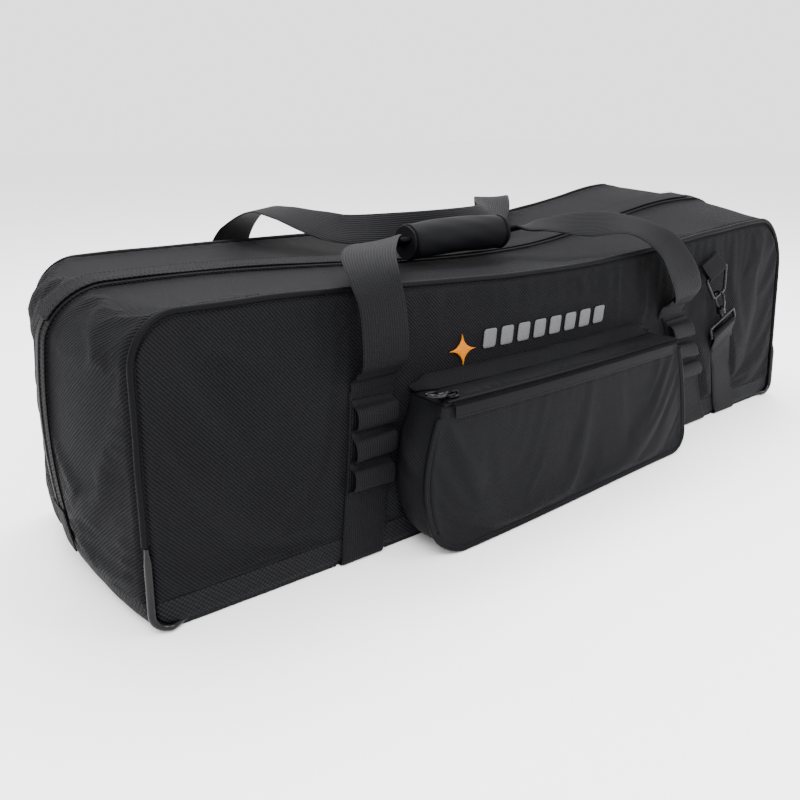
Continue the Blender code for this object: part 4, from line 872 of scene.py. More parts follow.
def build_guards():
    """Glossy guards round the lower front corners, tapered at both ends."""
    radius = 0.0035
    for name, mirror in (("front_left_guard", 1.0), ("front_right_guard", -1.0)):
        run = [(-END + BASE_RADIUS + 0.012 * s, 0.0, 0.0, -1.0) for s in (0.25, 0.5, 0.75, 1.0)]
        stations = np.array(end_side(0.087, BASE_RADIUS + 0.003, 18)
                            + base_corner(BASE_RADIUS, 16) + run)
        lift = radius * (1.0 - np.minimum(stations[:, 1] / 0.03, 1.0))
        stations[:, 1] += lift
        stations = stations * (mirror, 1.0, mirror, 1.0)
        path = on_outline(stations, [FRONT - 0.0010], 0.0018)[:, 0]
        share = np.linspace(0.0, 1.0, len(path))
        path[:, 1] += 0.0060 * ease(share, 0.82, 1.0) + 0.0010 * (1.0 - ease(share, 0.0, 0.10))
        radii = radius * (0.55 + 0.45 * np.minimum(ease(share, 0.0, 0.12),
                                                   1.0 - ease(share, 0.9, 1.0)))
        guard = tube(name + "_moulding", path, radius, "guard", sides=14, radii=radii)
        finish_piece(guard, "bag", [name])


# ---------------------------------------------------------------- main zipper
def band_strip(name, ys, depth, thickness, slot, body, stations, nodes=(), wave=0.0):
    """Strip that follows the band of cloth at a height above it, rounded at its long edges."""
    y = np.asarray(ys, float)
    base = on_outline(stations, y, -depth)
    run = np.broadcast_to(stations[:, 4][:, None], base.shape[:2])
    rise = np.broadcast_to(y[None, :], base.shape[:2])
    edge = np.minimum(np.abs(rise - y[0]), np.abs(rise - y[-1]))
    lift = wave * (0.5 + 0.5 * ripple(run, rise, 0.09, 1)) + edge_roll(edge, 0.0012, 0.0004)
    strip = cloth(name, base, lift, thickness, slot, on_flat(rise, run),
                  base - BAND_CENTRE)
    finish_piece(strip, body, nodes)


def zipper_stations():
    """Stations that the main zipper runs over, and those of them under its rain flap."""
    stations = outline(RIM)
    stations = stations[stations[:, 1] > ZIPPER_LOW]
    on_top = stations[(stations[:, 3] > 0.35) & (stations[:, 0] < END - TOP_RADIUS_RIGHT)]
    return stations, on_top


def build_zipper():
    """Tapes, interlocked teeth, the rain flap over the top and the patches at both ends."""
    stations, on_top = zipper_stations()
    high = GAP + TAPE_THICKNESS
    for half, body, ys in (("front", "bag", np.linspace(-TAPE_WIDTH, -0.0008, 9)),
                           ("rear", "lid", np.linspace(0.0008, TAPE_WIDTH, 9))):
        band_strip("zipper_tape_" + half, ys, high, TAPE_THICKNESS, "tape", body, stations,
                   ["main_zipper_" + half])
    build_teeth(stations)
    flap_ys = [-0.0100, -0.0096, -0.0085, -0.006, -0.002, 0.003, 0.009, 0.015, 0.019, 0.0212,
               0.022]
    band_strip("rain_flap", flap_ys, high + GAP + 0.0016, 0.0014, "fabric", "lid", on_top,
               ["zipper_rain_flap"], wave=0.0008)
    ends = outline(RIM)
    ends = ends[ends[:, 1] < 0.078]
    for name, sign in (("left", -1.0), ("right", 1.0)):
        band_strip("zipper_stop_" + name, np.linspace(-0.017, 0.017, 9), high + 0.0014,
                   TAPE_THICKNESS, "fabric", "bag", ends[sign * ends[:, 0] > 0.0])


def build_teeth(stations):
    """Coil teeth of both halves, each tooth a small bar that reaches over the middle."""
    pitch = 0.0022
    run = np.arange(stations[0, 4] + pitch, stations[-1, 4], 0.5 * pitch)
    table = np.column_stack([np.interp(run, stations[:, 4], stations[:, k]) for k in range(4)])
    height = GAP + TAPE_THICKNESS + 0.0006
    for start, name, body, near, far in ((0, "teeth_front", "bag", -0.0034, 0.0007),
                                         (1, "teeth_rear", "lid", 0.0034, -0.0007)):
        rows = table[start::2]
        base = on_outline(rows, [near, far], -height)
        along = unit(np.gradient(base.mean(axis=1), axis=0))
        out = unit(np.cross(along, base[:, 1] - base[:, 0]))
        bars = [[centre[end] + a * (0.00050 * s * share) + o * (0.00055 * t * share)
                 for end, share in ((0, 0.75), (1, 1.0))
                 for s, t in ((-1, -0.7), (1, -0.7), (1, 0.4), (0.4, 1), (-0.4, 1), (-1, 0.4))]
                for centre, a, o in zip(base, along, out)]
        zipper_teeth(name, bars, body)


# ---------------------------------------------------------------- webbing
def face_path(ground_x, lean, heights):
    """Points of a strap on the front face of the plain box."""
    return [(leg_x(ground_x, lean, z), FRONT - LAID, z) for z in heights]


def under_path(ground_x):
    """From the front edge of the base, under it, and round its rear edge."""
    low = 0.0014
    edge = [(FRONT - LAID, 0.0065), (FRONT - LAID + 0.0008, 0.0030),
            (FRONT - LAID + 0.0032, 0.0018), (FRONT - LAID + 0.0070, low)]
    middle = [(y, low) for y in (-0.10, -0.05, 0.0, 0.05, 0.10)]
    turn = [(-y, z) for y, z in reversed(edge)]
    return [(ground_x, y, z) for y, z in edge + middle + turn + [(REAR + LAID, 0.0145)]]


def lid_fold(reach):
    """Bodies on both sides of the lid's fold and a span of reach each way across it, given as a hinge."""
    return ("bag", "lid", (0.0, LID_HINGE.y, RIM - reach), (0.0, LID_HINGE.y, RIM + reach))


def build_legs():
    """Webbing legs: down the front and under the base, then up the lid over its fold."""
    for name, ground, lean in LEGS:
        path = face_path(ground, lean, (0.186, 0.150, 0.110, 0.070, 0.035, 0.014))
        path = smooth_path(path + under_path(ground), 6)
        leg = ribbon(name + "_leg", path, RIGHTWARD, WEB_WIDTH, WEB, laid=True)
        finish_piece(leg, "bag", [name + "_webbing_leg"])
        rear = [(leg_x(ground, lean, z), REAR + LAID, z) for z in
                (0.0155, 0.024, 0.031, 0.045, 0.070, 0.110, 0.150, 0.188)]
        back = ribbon(name + "_leg_rear", smooth_path(rear, 6), RIGHTWARD, WEB_WIDTH, WEB, laid=True)
        finish_piece(back, "lid", [name + "_webbing_leg_back"], lid_fold(0.004))


DAISY_LOOPS = (0.160, 0.128, 0.096)


def build_daisy_chains():
    """Loops of narrower webbing, gathered by bar tacks and sagging between them."""
    base = 2.0 * GAP + WEB + 0.0008
    for (name, ground, lean), twist in zip(LEGS, (1.0, -1.0)):
        profile = [(0.1775, 0.0), (0.1735, 0.05)]
        for k, middle in enumerate(DAISY_LOOPS):
            for z, out in ((0.0118, 0.25), (0.0100, 0.75), (0.0055, 1.02), (-0.0005, 1.08),
                           (-0.0062, 1.02), (-0.0102, 0.72), (-0.0120, 0.22)):
                profile.append((middle + z - 0.0008 * out, out))
            if k < 2:
                profile.append((middle - 0.016, 0.0))
        profile += [(0.0815, 0.05), (0.0775, 0.0)]
        rows = smooth_path([(leg_x(ground, lean, z), z, out) for z, out in profile], 5)
        path = np.stack([rows[:, 0] + twist * 0.0010 * rows[:, 2], FRONT - base - 0.0090 * rows[:, 2],
                         rows[:, 1]], -1)
        chain = ribbon(name + "_loops", path, RIGHTWARD, 0.046, 0.0014, laid=True)
        for vertex in chain.data.vertices:
            place = vertex.co
            tilt = np.interp(place.z, (0.080, 0.096, 0.112, 0.128, 0.144, 0.160, 0.176),
                             (0.0, -0.07, 0.02, 0.20, 0.0, 0.06, 0.0))
            stands = ease(float(slump(place.x, FRONT, place.z)[1]) - place.y, 0.004, 0.012)
            place.z += twist * tilt * stands * (place.x - float(leg_x(ground, lean, place.z)))
        finish_piece(chain, "bag", [name + "_daisy_chain"])


def handle_path(rows, steps):
    """Dense (places, width directions, widths, thicknesses) of a handle."""
    table = np.array([[*place, *side, width, thick] for place, side, width, thick in rows])
    table = smooth_path(table, steps)
    return table[:, :3], table[:, 3:6], table[:, 6], table[:, 7]


def leg_places(z):
    """x of both legs at a height."""
    return [float(leg_x(ground, lean, z)) for _, ground, lean in LEGS]


def front_handle_rows():
    axis = FRONT_HANDLE_AXIS
    left, right = leg_places(axis.z)
    near, far = GRIP_CENTRE.x - 0.5 * GRIP_LENGTH, GRIP_CENTRE.x + 0.5 * GRIP_LENGTH
    y, z = GRIP_CENTRE.y, GRIP_CENTRE.z
    wide, folded, slope = (WEB_WIDTH, WEB), (0.024, 0.0044), (0.0, -0.90, 0.40)
    return [((left, axis.y - 0.0010, axis.z + 0.0022), RIGHTWARD, *wide),
            ((left, axis.y - 0.0090, axis.z + 0.012), RIGHTWARD, *wide),
            ((left - 0.004, axis.y - 0.0150, axis.z + 0.040), RIGHTWARD, *wide),
            ((left - 0.006, axis.y - 0.0125, axis.z + 0.070), RIGHTWARD, *wide),
            ((left - 0.004, axis.y + 0.0040, axis.z + 0.093), (0.98, -0.20, 0.0), *wide),
            ((left + 0.014, axis.y + 0.0360, axis.z + 0.103), (0.88, -0.46, 0.0), *wide),
            ((left + 0.050, axis.y + 0.0780, axis.z + 0.104), (0.68, -0.70, 0.12), 0.047, WEB),
            ((left + 0.088, axis.y + 0.1130, axis.z + 0.098), (0.34, -0.86, 0.38), 0.038, 0.003),
            ((near - 0.012, y, z), slope, *folded),
            ((GRIP_CENTRE.x, y, z), slope, *folded),
            ((far + 0.012, y, z), slope, *folded),
            ((right - 0.156, axis.y + 0.1020, axis.z + 0.097), (-0.20, -0.92, -0.15), 0.036, 0.003),
            ((right - 0.118, axis.y + 0.0660, axis.z + 0.099), (-0.48, -0.70, -0.50), 0.046, WEB),
            ((right - 0.084, axis.y + 0.0280, axis.z + 0.099), (-0.78, -0.50, -0.28), *wide),
            ((right - 0.054, axis.y - 0.0020, axis.z + 0.078), (-0.92, -0.25, -0.30), *wide),
            ((right - 0.024, axis.y - 0.0110, axis.z + 0.042), (-0.94, -0.05, -0.33), *wide),
            ((right - 0.003, axis.y - 0.0085, axis.z + 0.014), (-0.98, 0.0, -0.15), *wide),
            ((right, axis.y - 0.0010, axis.z + 0.0022), (-1.0, 0.0, 0.0), *wide)]


def back_handle_rows():
    axis = BACK_HANDLE_AXIS
    left, right = leg_places(axis.z)
    wide = (WEB_WIDTH, WEB)
    return [((left, axis.y + 0.0010, axis.z + 0.0022), RIGHTWARD, *wide),
            ((left, axis.y + 0.0070, axis.z + 0.012), RIGHTWARD, *wide),
            ((left + 0.006, axis.y + 0.0110, axis.z + 0.045), RIGHTWARD, *wide),
            ((left + 0.022, axis.y + 0.0020, axis.z + 0.086), (0.97, 0.20, 0.0), *wide),
            ((left + 0.036, axis.y - 0.0280, axis.z + 0.110), (0.86, 0.50, 0.0), *wide),
            ((left + 0.052, axis.y - 0.0600, axis.z + 0.110), (0.76, 0.58, 0.15), *wide),
            ((left + 0.076, axis.y - 0.0960, axis.z + 0.100), (0.60, 0.62, 0.42), *wide),
            ((left + 0.108, axis.y - 0.1260, axis.z + 0.093), (0.30, 0.62, 0.68), 0.042, WEB),
            ((GRIP_CENTRE.x, axis.y - 0.1450, axis.z + 0.092), (0.0, 0.40, 0.92), 0.036, WEB),
            ((right - 0.160, axis.y - 0.1300, axis.z + 0.092), (-0.25, 0.65, 0.65), 0.040, WEB),
            ((right - 0.110, axis.y - 0.0900, axis.z + 0.098), (-0.55, 0.72, 0.30), *wide),
            ((right - 0.068, axis.y - 0.0450, axis.z + 0.104), (-0.75, 0.60, 0.0), *wide),
            ((right - 0.034, axis.y - 0.0080, axis.z + 0.090), (-0.90, 0.30, -0.20), *wide),
            ((right - 0.012, axis.y + 0.0110, axis.z + 0.048), (-0.95, 0.05, -0.25), *wide),
            ((right - 0.002, axis.y + 0.0075, axis.z + 0.014), (-0.99, 0.0, -0.08), *wide),
            ((right, axis.y + 0.0010, axis.z + 0.0022), (-1.0, 0.0, 0.0), *wide)]


def build_handles():
    """Carrying handles, each a band of webbing along its path."""
    for name, rows, body in (("front_handle", front_handle_rows(), "front_handle"),
                             ("back_handle", back_handle_rows(), "back_handle")):
        path, side, width, thick = handle_path(rows, 9)
        handle = ribbon(name + "_webbing", path, side, width, thick, twist_free=True)
        finish_piece(handle, body, [name])


def build_feet():
    """Turned-out ends of the legs, which join the laid webbing to the foot of each handle."""
    for name, ground, lean in LEGS:
        for axis, sign, base, swing in ((FRONT_HANDLE_AXIS, -1.0, "bag", "front_handle"),
                                        (BACK_HANDLE_AXIS, 1.0, "lid", "back_handle")):
            x = float(leg_x(ground, lean, axis.z))
            face, upper = slump(x, sign * (REAR + LAID), [0.183, 0.191])
            points = [face, 0.5 * (face + upper) + np.array([0.0, sign * 0.0010, 0.0]),
                      (x, axis.y - sign * 0.0105, axis.z - 0.0075),
                      (x, axis.y - sign * 0.0035, axis.z - 0.0030),
                      (x, axis.y + sign * 0.0012, axis.z + 0.0040),
                      (x, axis.y + sign * 0.0052, axis.z + 0.0095)]
            foot = ribbon(name + "_" + swing + "_foot", smooth_path(points, 6), RIGHTWARD,
                          WEB_WIDTH, 0.0024)
            finish_piece(foot, base, (),
                         (base, swing, (x, axis.y - sign * 0.004, axis.z - 0.0040),
                          (x, axis.y + sign * 0.003, axis.z + 0.0055)))


def build_grip():
    """Padded grip: a wrapped cushion with piping at both ends and along its closing."""
    across = Vector((0.0, -0.90, 0.40)).normalized()
    through = Vector((1.0, 0.0, 0.0)).cross(across)
    a_axis, b_axis = np.array(across), np.array(through)
    count, sides = 64, 56
    share = np.linspace(-1.0, 1.0, count)
    angles = np.linspace(0.0, 2.0 * math.pi, sides, endpoint=False)
    s, t = share[:, None], angles[None, :]
    crown = 0.90 + 0.085 * (1.0 - np.abs(s) ** 6) - 0.05 * np.exp(-((np.abs(s) - 0.93) / 0.03) ** 2)
    radius = GRIP_RADIUS * (crown + 0.014 * np.sin(3.0 * t + 4.0 * s) + 0.008 * np.sin(7 * t - 9 * s))
    radius = radius * (1.0 - 0.045 * np.exp(-((t - 2.2) / 0.10) ** 2))
    flat_side = np.where(np.sin(t) > 0.0, 0.98, 0.93)
    ring = (radius[..., None] * (np.cos(t)[..., None] * a_axis
                                 + (np.sin(t) * flat_side)[..., None] * b_axis))
    centre = np.array(GRIP_CENTRE) + np.stack([0.5 * GRIP_LENGTH * share, np.zeros(count),
                                               0.0025 * (0.5 - share ** 2)], -1)
    outer = centre[:, None] + ring
    inner = centre[:, None] + (np.cos(t)[..., None] * 0.0135 * a_axis
                               + np.sin(t)[..., None] * 0.0036 * b_axis)
    rings = np.concatenate([outer, inner[::-1]])
    along = np.concatenate([share, share[::-1]])[:, None] * 0.5 * GRIP_LENGTH
    flat = on_flat(angles[None, :] * GRIP_RADIUS, along)
    grip = ring_solid("grip_cushion", rings, "grip", flat, closed=True)
    finish_piece(grip, "front_handle", ["handle_grip"])
    for name, k in (("left", 2), ("right", count - 3)):
        cord = tube("grip_piping_" + name, centre[k] + ring[k] * 1.02, 0.0021, "trim",
                    closed=True, sides=10)
        finish_piece(cord, "front_handle")
    closing = (slice(3, count - 3), int(sides * 0.36))
    cord = tube("grip_closing_piping", outer[closing], 0.0013, "trim", sides=8)
    finish_piece(cord, "front_handle")
    out = unit(ring[closing])
    stitches("grip_stitches", [(outer[closing] + out * 0.0002, out)], "front_handle")


# ---------------------------------------------------------------- shoulder strap
RING_HEIGHT = 0.0112
RING_LENGTH = 0.034
HOOK_BEND = 0.0064
HOOK_CENTRE = RING_LENGTH + 0.0022
BARREL_START, BARREL_END = 0.0555, 0.0650
LOOP_START, LOOP_END = 0.0745, 0.0905
LOOP_BEND = 0.0035
WIRE_RADIUS = 0.0020
HEM = 0.118


class Place:
    """Puts points given along the strap, across it and out from the panel into the world."""

    def __init__(self, origin, along, out):
        self.origin = Vector(origin)
        self.along = Vector(along).normalized()
        out = Vector(out)
        self.out = (out - self.along * out.dot(self.along)).normalized()
        self.across = self.out.cross(self.along)

    def __call__(self, a, b, n):
        return np.array(self.origin + self.along * a + self.across * b + self.out * n)


def front_place():
    top = slump(0.2790, FRONT, 0.2300)
    foot = slump(leg_x(STRAP_X, STRAP_LEAN, 0.10), FRONT, 0.10)
    return Place(top, Vector(foot) - Vector(top), FORWARD)


BACK_RUN_START = (-0.247, 0.1378)
BACK_BEND = 0.055
BACK_BEND_START = 85.0


def back_place():
    start = slump(-0.385, REAR, 0.1473)
    foot = slump(BACK_RUN_START[0], REAR, BACK_RUN_START[1])
    return Place(start, Vector(foot) - Vector(start), (0.0, 1.0, 0.0))


def rounded_loop(corners, bend, steps):
    """Closed flat path through corners, each rounded by bend."""
    corners = [Vector(corner) for corner in corners]
    path = []
    for k, corner in enumerate(corners):
        after = corners[(k + 1) % len(corners)]
        start = corner + (corners[k - 1] - corner).normalized() * bend
        end = corner + (after - corner).normalized() * bend
        for share in np.linspace(0.0, 1.0, steps):
            path.append(start.lerp(corner, share).lerp(corner.lerp(end, share), share))
    return path


def wire_loop(name, put, corners, body, node, bend):
    """Closed wire through corners given as (along, across)."""
    path = [put(p.x, p.y, RING_HEIGHT) for p in rounded_loop(corners, bend, 9)]
    loop = tube(name, path, WIRE_RADIUS, "hardware", closed=True, sides=16)
    finish_piece(loop, body, [node])


def build_hardware(prefix, put, base):
    """Tab, tapered ring, swivel snap hook with its gate, and the square loop of the strap."""
    turn = [(0.0034 * math.sin(t), RING_HEIGHT - 0.0034 * math.cos(t))
            for t in np.linspace(0.0, math.pi, 14)]
    profile = [(-0.0205, 0.0018), (-0.015, 0.0020), (-0.010, 0.0024), (-0.005, 0.0050), *turn,
               (-0.006, RING_HEIGHT + 0.0005), (-0.011, 0.0088), (-0.016, 0.0062),
               (-0.0205, 0.0046)]
    path = smooth_path([put(a, 0.0, n) for a, n in profile], 3)
    tab = ribbon(prefix + "_tab", path, put.across, 0.036, 0.0013)
    finish_piece(tab, base, [prefix + "_ring_tab"])
    wire_loop(prefix + "_wire_ring", put, [(0.0, -0.0225), (0.0, 0.0225), (RING_LENGTH, 0.0122),
                                           (RING_LENGTH, -0.0122)],
              prefix + "_ring", prefix + "_ring", 0.0040)
    wire_loop(prefix + "_wire_square", put, [(LOOP_START, -0.0275), (LOOP_START, 0.0275),
                                             (LOOP_END, 0.0275), (LOOP_END, -0.0275)],
              base, prefix + "_square_loop", LOOP_BEND)
    build_hook(prefix, put)


def build_hook(prefix, put):
    """Cast hook with a turned barrel, a neck, a tapered bend and a sprung gate."""
    centre = HOOK_CENTRE
    bend = [(centre - HOOK_BEND * math.sin(t), RING_HEIGHT - HOOK_BEND * math.cos(t))
            for t in np.linspace(0.0, math.pi, 20)]
    wire = [(BARREL_START + 0.0010, RING_HEIGHT - 0.0026),
            (BARREL_START - 0.0030, RING_HEIGHT - HOOK_BEND + 0.0010),
            (centre + 0.010, RING_HEIGHT - HOOK_BEND), (centre + 0.005, RING_HEIGHT - HOOK_BEND)]
    path = [put(a, 0.0, n) for a, n in [*wire, *bend, (centre + 0.0035, RING_HEIGHT + HOOK_BEND)]]
    share = np.linspace(0.0, 1.0, len(path))
    radii = 0.0016 * (1.12 - 0.22 * ease(share, 0.1, 0.4) + 0.06 * ease(share, 0.8, 1.0))
    hook = tube(prefix + "_snap_hook", path, 0.0016, "hardware", radii=radii, sides=16)
    finish_piece(hook, prefix + "_hook", [prefix + "_hook"])
    profile = [(BARREL_START - 0.0004, 0.0012), (BARREL_START, 0.0040),
               (BARREL_START + 0.0008, 0.0056), (BARREL_START + 0.0020, 0.0058),
               (BARREL_START + 0.0035, 0.0052), (BARREL_START + 0.0046, 0.0058),
               (BARREL_END - 0.0010, 0.0057), (BARREL_END - 0.0002, 0.0046),
               (BARREL_END + 0.0004, 0.0026), (BARREL_END + 0.0020, 0.0020),
               (LOOP_START - 0.0052, 0.0020), (LOOP_START - 0.0044, 0.0026),
               (LOOP_START - 0.0040, 0.0022)]
    angles = np.linspace(0.0, 2.0 * math.pi, 24, endpoint=False)
    rings = np.array([[put(a, r * math.cos(t), RING_HEIGHT + r * math.sin(t)) for t in angles]
                      for a, r in profile])
    barrel = ring_solid(prefix + "_barrel", rings, "hardware")
    finish_piece(barrel, prefix + "_hook")
    spans = [(centre + 0.0044, HOOK_BEND, 0.0015), (centre + 0.0070, HOOK_BEND, 0.0019),
             (centre + 0.0105, HOOK_BEND + 0.0001, 0.0020),
             (BARREL_START - 0.0050, HOOK_BEND - 0.0006, 0.0020),
             (BARREL_START - 0.0012, HOOK_BEND - 0.0010, 0.0016)]
    rings = np.array([[put(a, r * math.cos(t), RING_HEIGHT + n + 0.7 * r * math.sin(t))
                       for t in angles[::2]] for a, n, r in spans])
    gate = ring_solid(prefix + "_sprung_gate", rings, "hardware")
    finish_piece(gate, prefix + "_gate", [prefix + "_gate"])


def fold_path(put):
    """The strap's sewn end: on top from its hem, round the loop's lower bar, back along."""
    turn = [(LOOP_END - 0.0034 * math.sin(t), RING_HEIGHT + 0.0034 * math.cos(t))
            for t in np.linspace(0.0, math.pi, 14)]
    profile = [(HEM, 0.0066), (HEM - 0.008, 0.0072), (LOOP_END + 0.006, RING_HEIGHT + 0.0015),
               *turn, (LOOP_END + 0.007, 0.0066), (HEM - 0.008, 0.0040)]
    return [put(a, 0.0, n) for a, n in profile]


def strap_rings(path, across, laid=False):
    """Rings of a strap, for joining a free stretch to a laid one."""
    path = np.asarray(path, float)
    side = np.broadcast_to(np.asarray(across, float), path.shape)
    out = unit(np.cross(unit(np.gradient(path, axis=0)), side))
    share, height = web_section(0.28)
    rings = (path[:, None] + side[:, None] * (0.5 * WEB_WIDTH * share)[:, None]
             + out[:, None] * (0.5 * WEB * height)[:, None])
    return slump(*np.moveaxis(rings, -1, 0)) if laid else rings


def strap_piece(name, parts):
    """One strap from stretches of rings; a stretch that runs the other way up is turned over."""
    rows = [parts[0]]
    for part in parts[1:]:
        last = rows[-1][-1]
        if np.dot(last[8] - last[0], part[0][8] - part[0][0]) < 0.0:
            part = np.roll(part, -9, axis=1)
        rows.append(part)
    rings = np.concatenate(rows)
    across = np.linalg.norm(rings - rings[:, :1], axis=-1)
    run = run_along(rings.mean(axis=1))[:, None]
    return ring_solid(name, rings, "webbing", on_flat(across, run))


def build_shoulder_strap():
    """Front half of the strap: from its ring, down the front panel and under the base."""
    put = front_place()
    build_hardware("front", put, "bag")
    fold = strap_rings(smooth_path(fold_path(put), 2), put.across)
    laid = face_path(STRAP_X, STRAP_LEAN, (0.085, 0.060, 0.035, 0.014))
    laid = smooth_path(laid + under_path(STRAP_X), 6)
    strap = strap_piece("strap_front", [fold, strap_rings(laid, RIGHTWARD, laid=True)])
    finish_piece(strap, "bag", ["shoulder_strap"])


def back_run():
    """(x, z) points of the strap on the rear face: straight, then round to the rear seam."""
    centre_x, centre_z = STRAP_X - BACK_BEND, RIM + 0.003
    bend = [(centre_x + BACK_BEND * math.cos(math.radians(a)),
             centre_z + BACK_BEND * math.sin(math.radians(a)))
            for a in np.linspace(BACK_BEND_START, 0.0, 16)]
    start = np.array(BACK_RUN_START)
    straight = [start + (np.array(bend[0]) - start) * s for s in np.linspace(0.0, 1.0, 60)[:-1]]
    return np.array([*straight, *bend, (STRAP_X, 0.024), (STRAP_X, 0.0155)])


def build_back_strap():
    """Rear half of the strap with its slide, from the ring to the fold of the lid."""
    put = back_place()
    build_hardware("back", put, "lid")
    fold = strap_rings(smooth_path(fold_path(put), 2), put.across)
    run = back_run()
    y = REAR + GAP + 0.5 * WEB + WEB + GAP
    lowering = ease(run[:, 1], RIM - 0.002, RIM + 0.020)
    path = np.stack([run[:, 0], y - (WEB + GAP) * (1.0 - lowering), run[:, 1]], -1)
    across = unit(np.cross(unit(np.gradient(path, axis=0)), (0.0, 1.0, 0.0)))
    strap = strap_piece("strap_rear", [fold, strap_rings(path, across, laid=True)])
    finish_piece(strap, "lid", ["shoulder_strap_back"],
                 lid_fold(0.004))
    start, end = run[0], run[59]
    x, z = start + (end - start) * 0.52
    centre = slump(x, y, z)
    along = unit(slump(x + 0.01, y, z - 0.00086) - centre)
    rise = unit(slump(x, y, z + 0.02) - slump(x, y, z - 0.02))
    slide = Place(centre, along, np.cross(rise, along))
    corners = [(-0.0115, -0.0290), (-0.0115, 0.0290), (0.0115, 0.0290), (0.0115, -0.0290)]
    path = [slide(p.x, p.y, 0.0012) for p in rounded_loop(corners, 0.003, 7)]
    frame_wire = tube("slide_frame", path, 0.0016, "hardware", closed=True, sides=12)
    finish_piece(frame_wire, "lid", ["strap_slide"])
    bar = tube("slide_bar", [slide(0.0, b, 0.0024) for b in np.linspace(-0.0290, 0.0290, 6)],
               0.0014, "hardware", sides=12)
    finish_piece(bar, "lid")


# ---------------------------------------------------------------- pocket
def pocket_x(x, z):
    """The pocket narrows upwards: its right side leans in and its left side bulges out."""
    share = (x - POCKET_LEFT) / (POCKET_RIGHT - POCKET_LEFT)
    height = np.clip(z / POCKET_TOP, 0.0, 1.0)
    bulge = 0.019 * np.sin(math.pi * height) - 0.008 * (1.0 - height)
    return x - share * POCKET_LEAN * z - bulge * np.clip(1.0 - share, 0.0, 1.0) ** 3


def pocket_outline(inset):
    """Dense (x, z, outward x, outward z) rows: down the left, along the bottom, up the right."""
    left, right = POCKET_LEFT + inset, POCKET_RIGHT - inset
    low, radius = POCKET_BOTTOM + inset, POCKET_CORNER - inset
    rows = [(left, z, -1.0, 0.0) for z in np.arange(POCKET_TOP, low + radius + 0.001, -POCKET_STEP)]
    for centre, start in ((left + radius, 180.0), (right - radius, 270.0)):
        rows += arc(centre, low + radius, radius, np.radians(np.linspace(start, start + 90.0, 12)))
        if start == 180.0:
            rows += [(x, low, 0.0, -1.0) for x in
                     np.arange(left + radius + POCKET_STEP, right - radius - 0.001, POCKET_STEP)]
    rows += [(right, z, 1.0, 0.0) for z in np.arange(low + radius + 0.001, POCKET_TOP, POCKET_STEP)]
    table = np.array(rows)
    table[:, 0] = pocket_x(table[:, 0], table[:, 1])
    return table


def pocket_bulge(x, z, share):
    """How far the stuffed pocket's walls stand out; share is 0 at the seam and 1 at the face."""
    height = np.clip((z - POCKET_BOTTOM) / (POCKET_TOP - POCKET_BOTTOM), 0.0, 1.0)
    side = np.where(x < 0.0, 0.013, 0.006)
    return side * np.sin(math.pi * height) ** 0.8 * np.sin(math.pi * (0.12 + 0.80 * share))


def build_pocket():
    """Gusset walls of the stuffed pocket."""
    rows = pocket_outline(0.0)
    share = np.concatenate([[0.0, 0.03], np.linspace(0.08, 0.94, 16), [0.975, 1.0]])
    back = FRONT - 3.0 * GAP
    x, z, out_x, out_z = (rows[:, k][:, None] for k in range(4))
    y = back + (POCKET_FACE - back) * share[None, :]
    run = np.concatenate([[0.0], np.cumsum(np.hypot(*np.diff(rows[:, :2], axis=0).T))])[:, None]
    lift = pocket_bulge(x, z, share[None, :]) * np.abs(out_x)
    lift = lift + 0.0016 * ripple(run, y, 0.045, 4) * np.sin(math.pi * share)[None, :]
    lift = lift + puckers(run, (1.0 - share)[None, :] * 0.046, 0.014, 0.012, 0.0012, 6) * \
        np.sin(math.pi * share)[None, :]
    lift = lift + 0.0022 * fold(run, y, (0.030, back), (0.075, POCKET_FACE), 0.006, 1.0)
    lift = lift - 0.0016 * fold(run, y, (0.055, back), (0.095, POCKET_FACE), 0.005, 1.0)
    lift = np.maximum(lift, -0.0015) * ease(share, 0.0, 0.1)[None, :]
    base = slump(x + out_x * lift, y, z + out_z * np.minimum(lift, 0.0008))
    outward = np.stack(np.broadcast_arrays(out_x, 0.0, out_z), -1)
    gusset = cloth("pocket_walls", base, 0.0, POCKET_CLOTH, "pocket_fabric", on_flat(run, y),
                   outward)
    finish_piece(gusset, "bag", ["pocket_gusset"])


def pocket_face_lift(x, z, low):
    """Shape of the pocket's face: full below the middle, with slack folds at its corners."""
    height = (z - low) / (POCKET_TOP - low)
    side = np.minimum(x - POCKET_LEFT, POCKET_RIGHT - x)
    full = 0.0070 * np.sin(math.pi * np.clip(height, 0.0, 1.0)) ** 0.7 * ease(side, 0.0, 0.07)
    lift = full + 0.0012 * ripple(x, z, 0.09, 8)
    for line in (((-0.222, 0.150), (-0.150, 0.070), 0.012, 0.0034),
                 ((-0.205, 0.158), (-0.120, 0.120), 0.010, -0.0026),
                 ((-0.220, 0.030), (-0.150, 0.060), 0.012, 0.0026),
                 ((-0.150, 0.152), (-0.040, 0.138), 0.010, 0.0024),
                 ((0.175, 0.150), (0.090, 0.100), 0.014, 0.0030),
                 ((0.150, 0.020), (0.080, 0.070), 0.012, 0.0024),
                 ((0.020, 0.150), (0.100, 0.140), 0.010, -0.0020),
                 ((-0.090, 0.020), (0.000, 0.050), 0.014, 0.0020)):
        lift = lift + fold(x, z, *line)
    edge = np.minimum(side, np.minimum(z - low, POCKET_TOP - z))
    lift = lift + puckers(x + z, edge, 0.015, 0.010, 0.0009, 5)
    return lift * ease(edge, 0.0, 0.012) + edge_roll(edge, 0.004, 0.0022)


def pocket_low(x):
    reach = np.maximum(np.maximum(POCKET_LEFT + POCKET_CORNER - x,
                                  x - POCKET_RIGHT + POCKET_CORNER), 0.0)
    drop = np.sqrt(np.maximum(POCKET_CORNER ** 2 - reach ** 2, 0.0))
    return POCKET_BOTTOM + POCKET_CORNER - drop


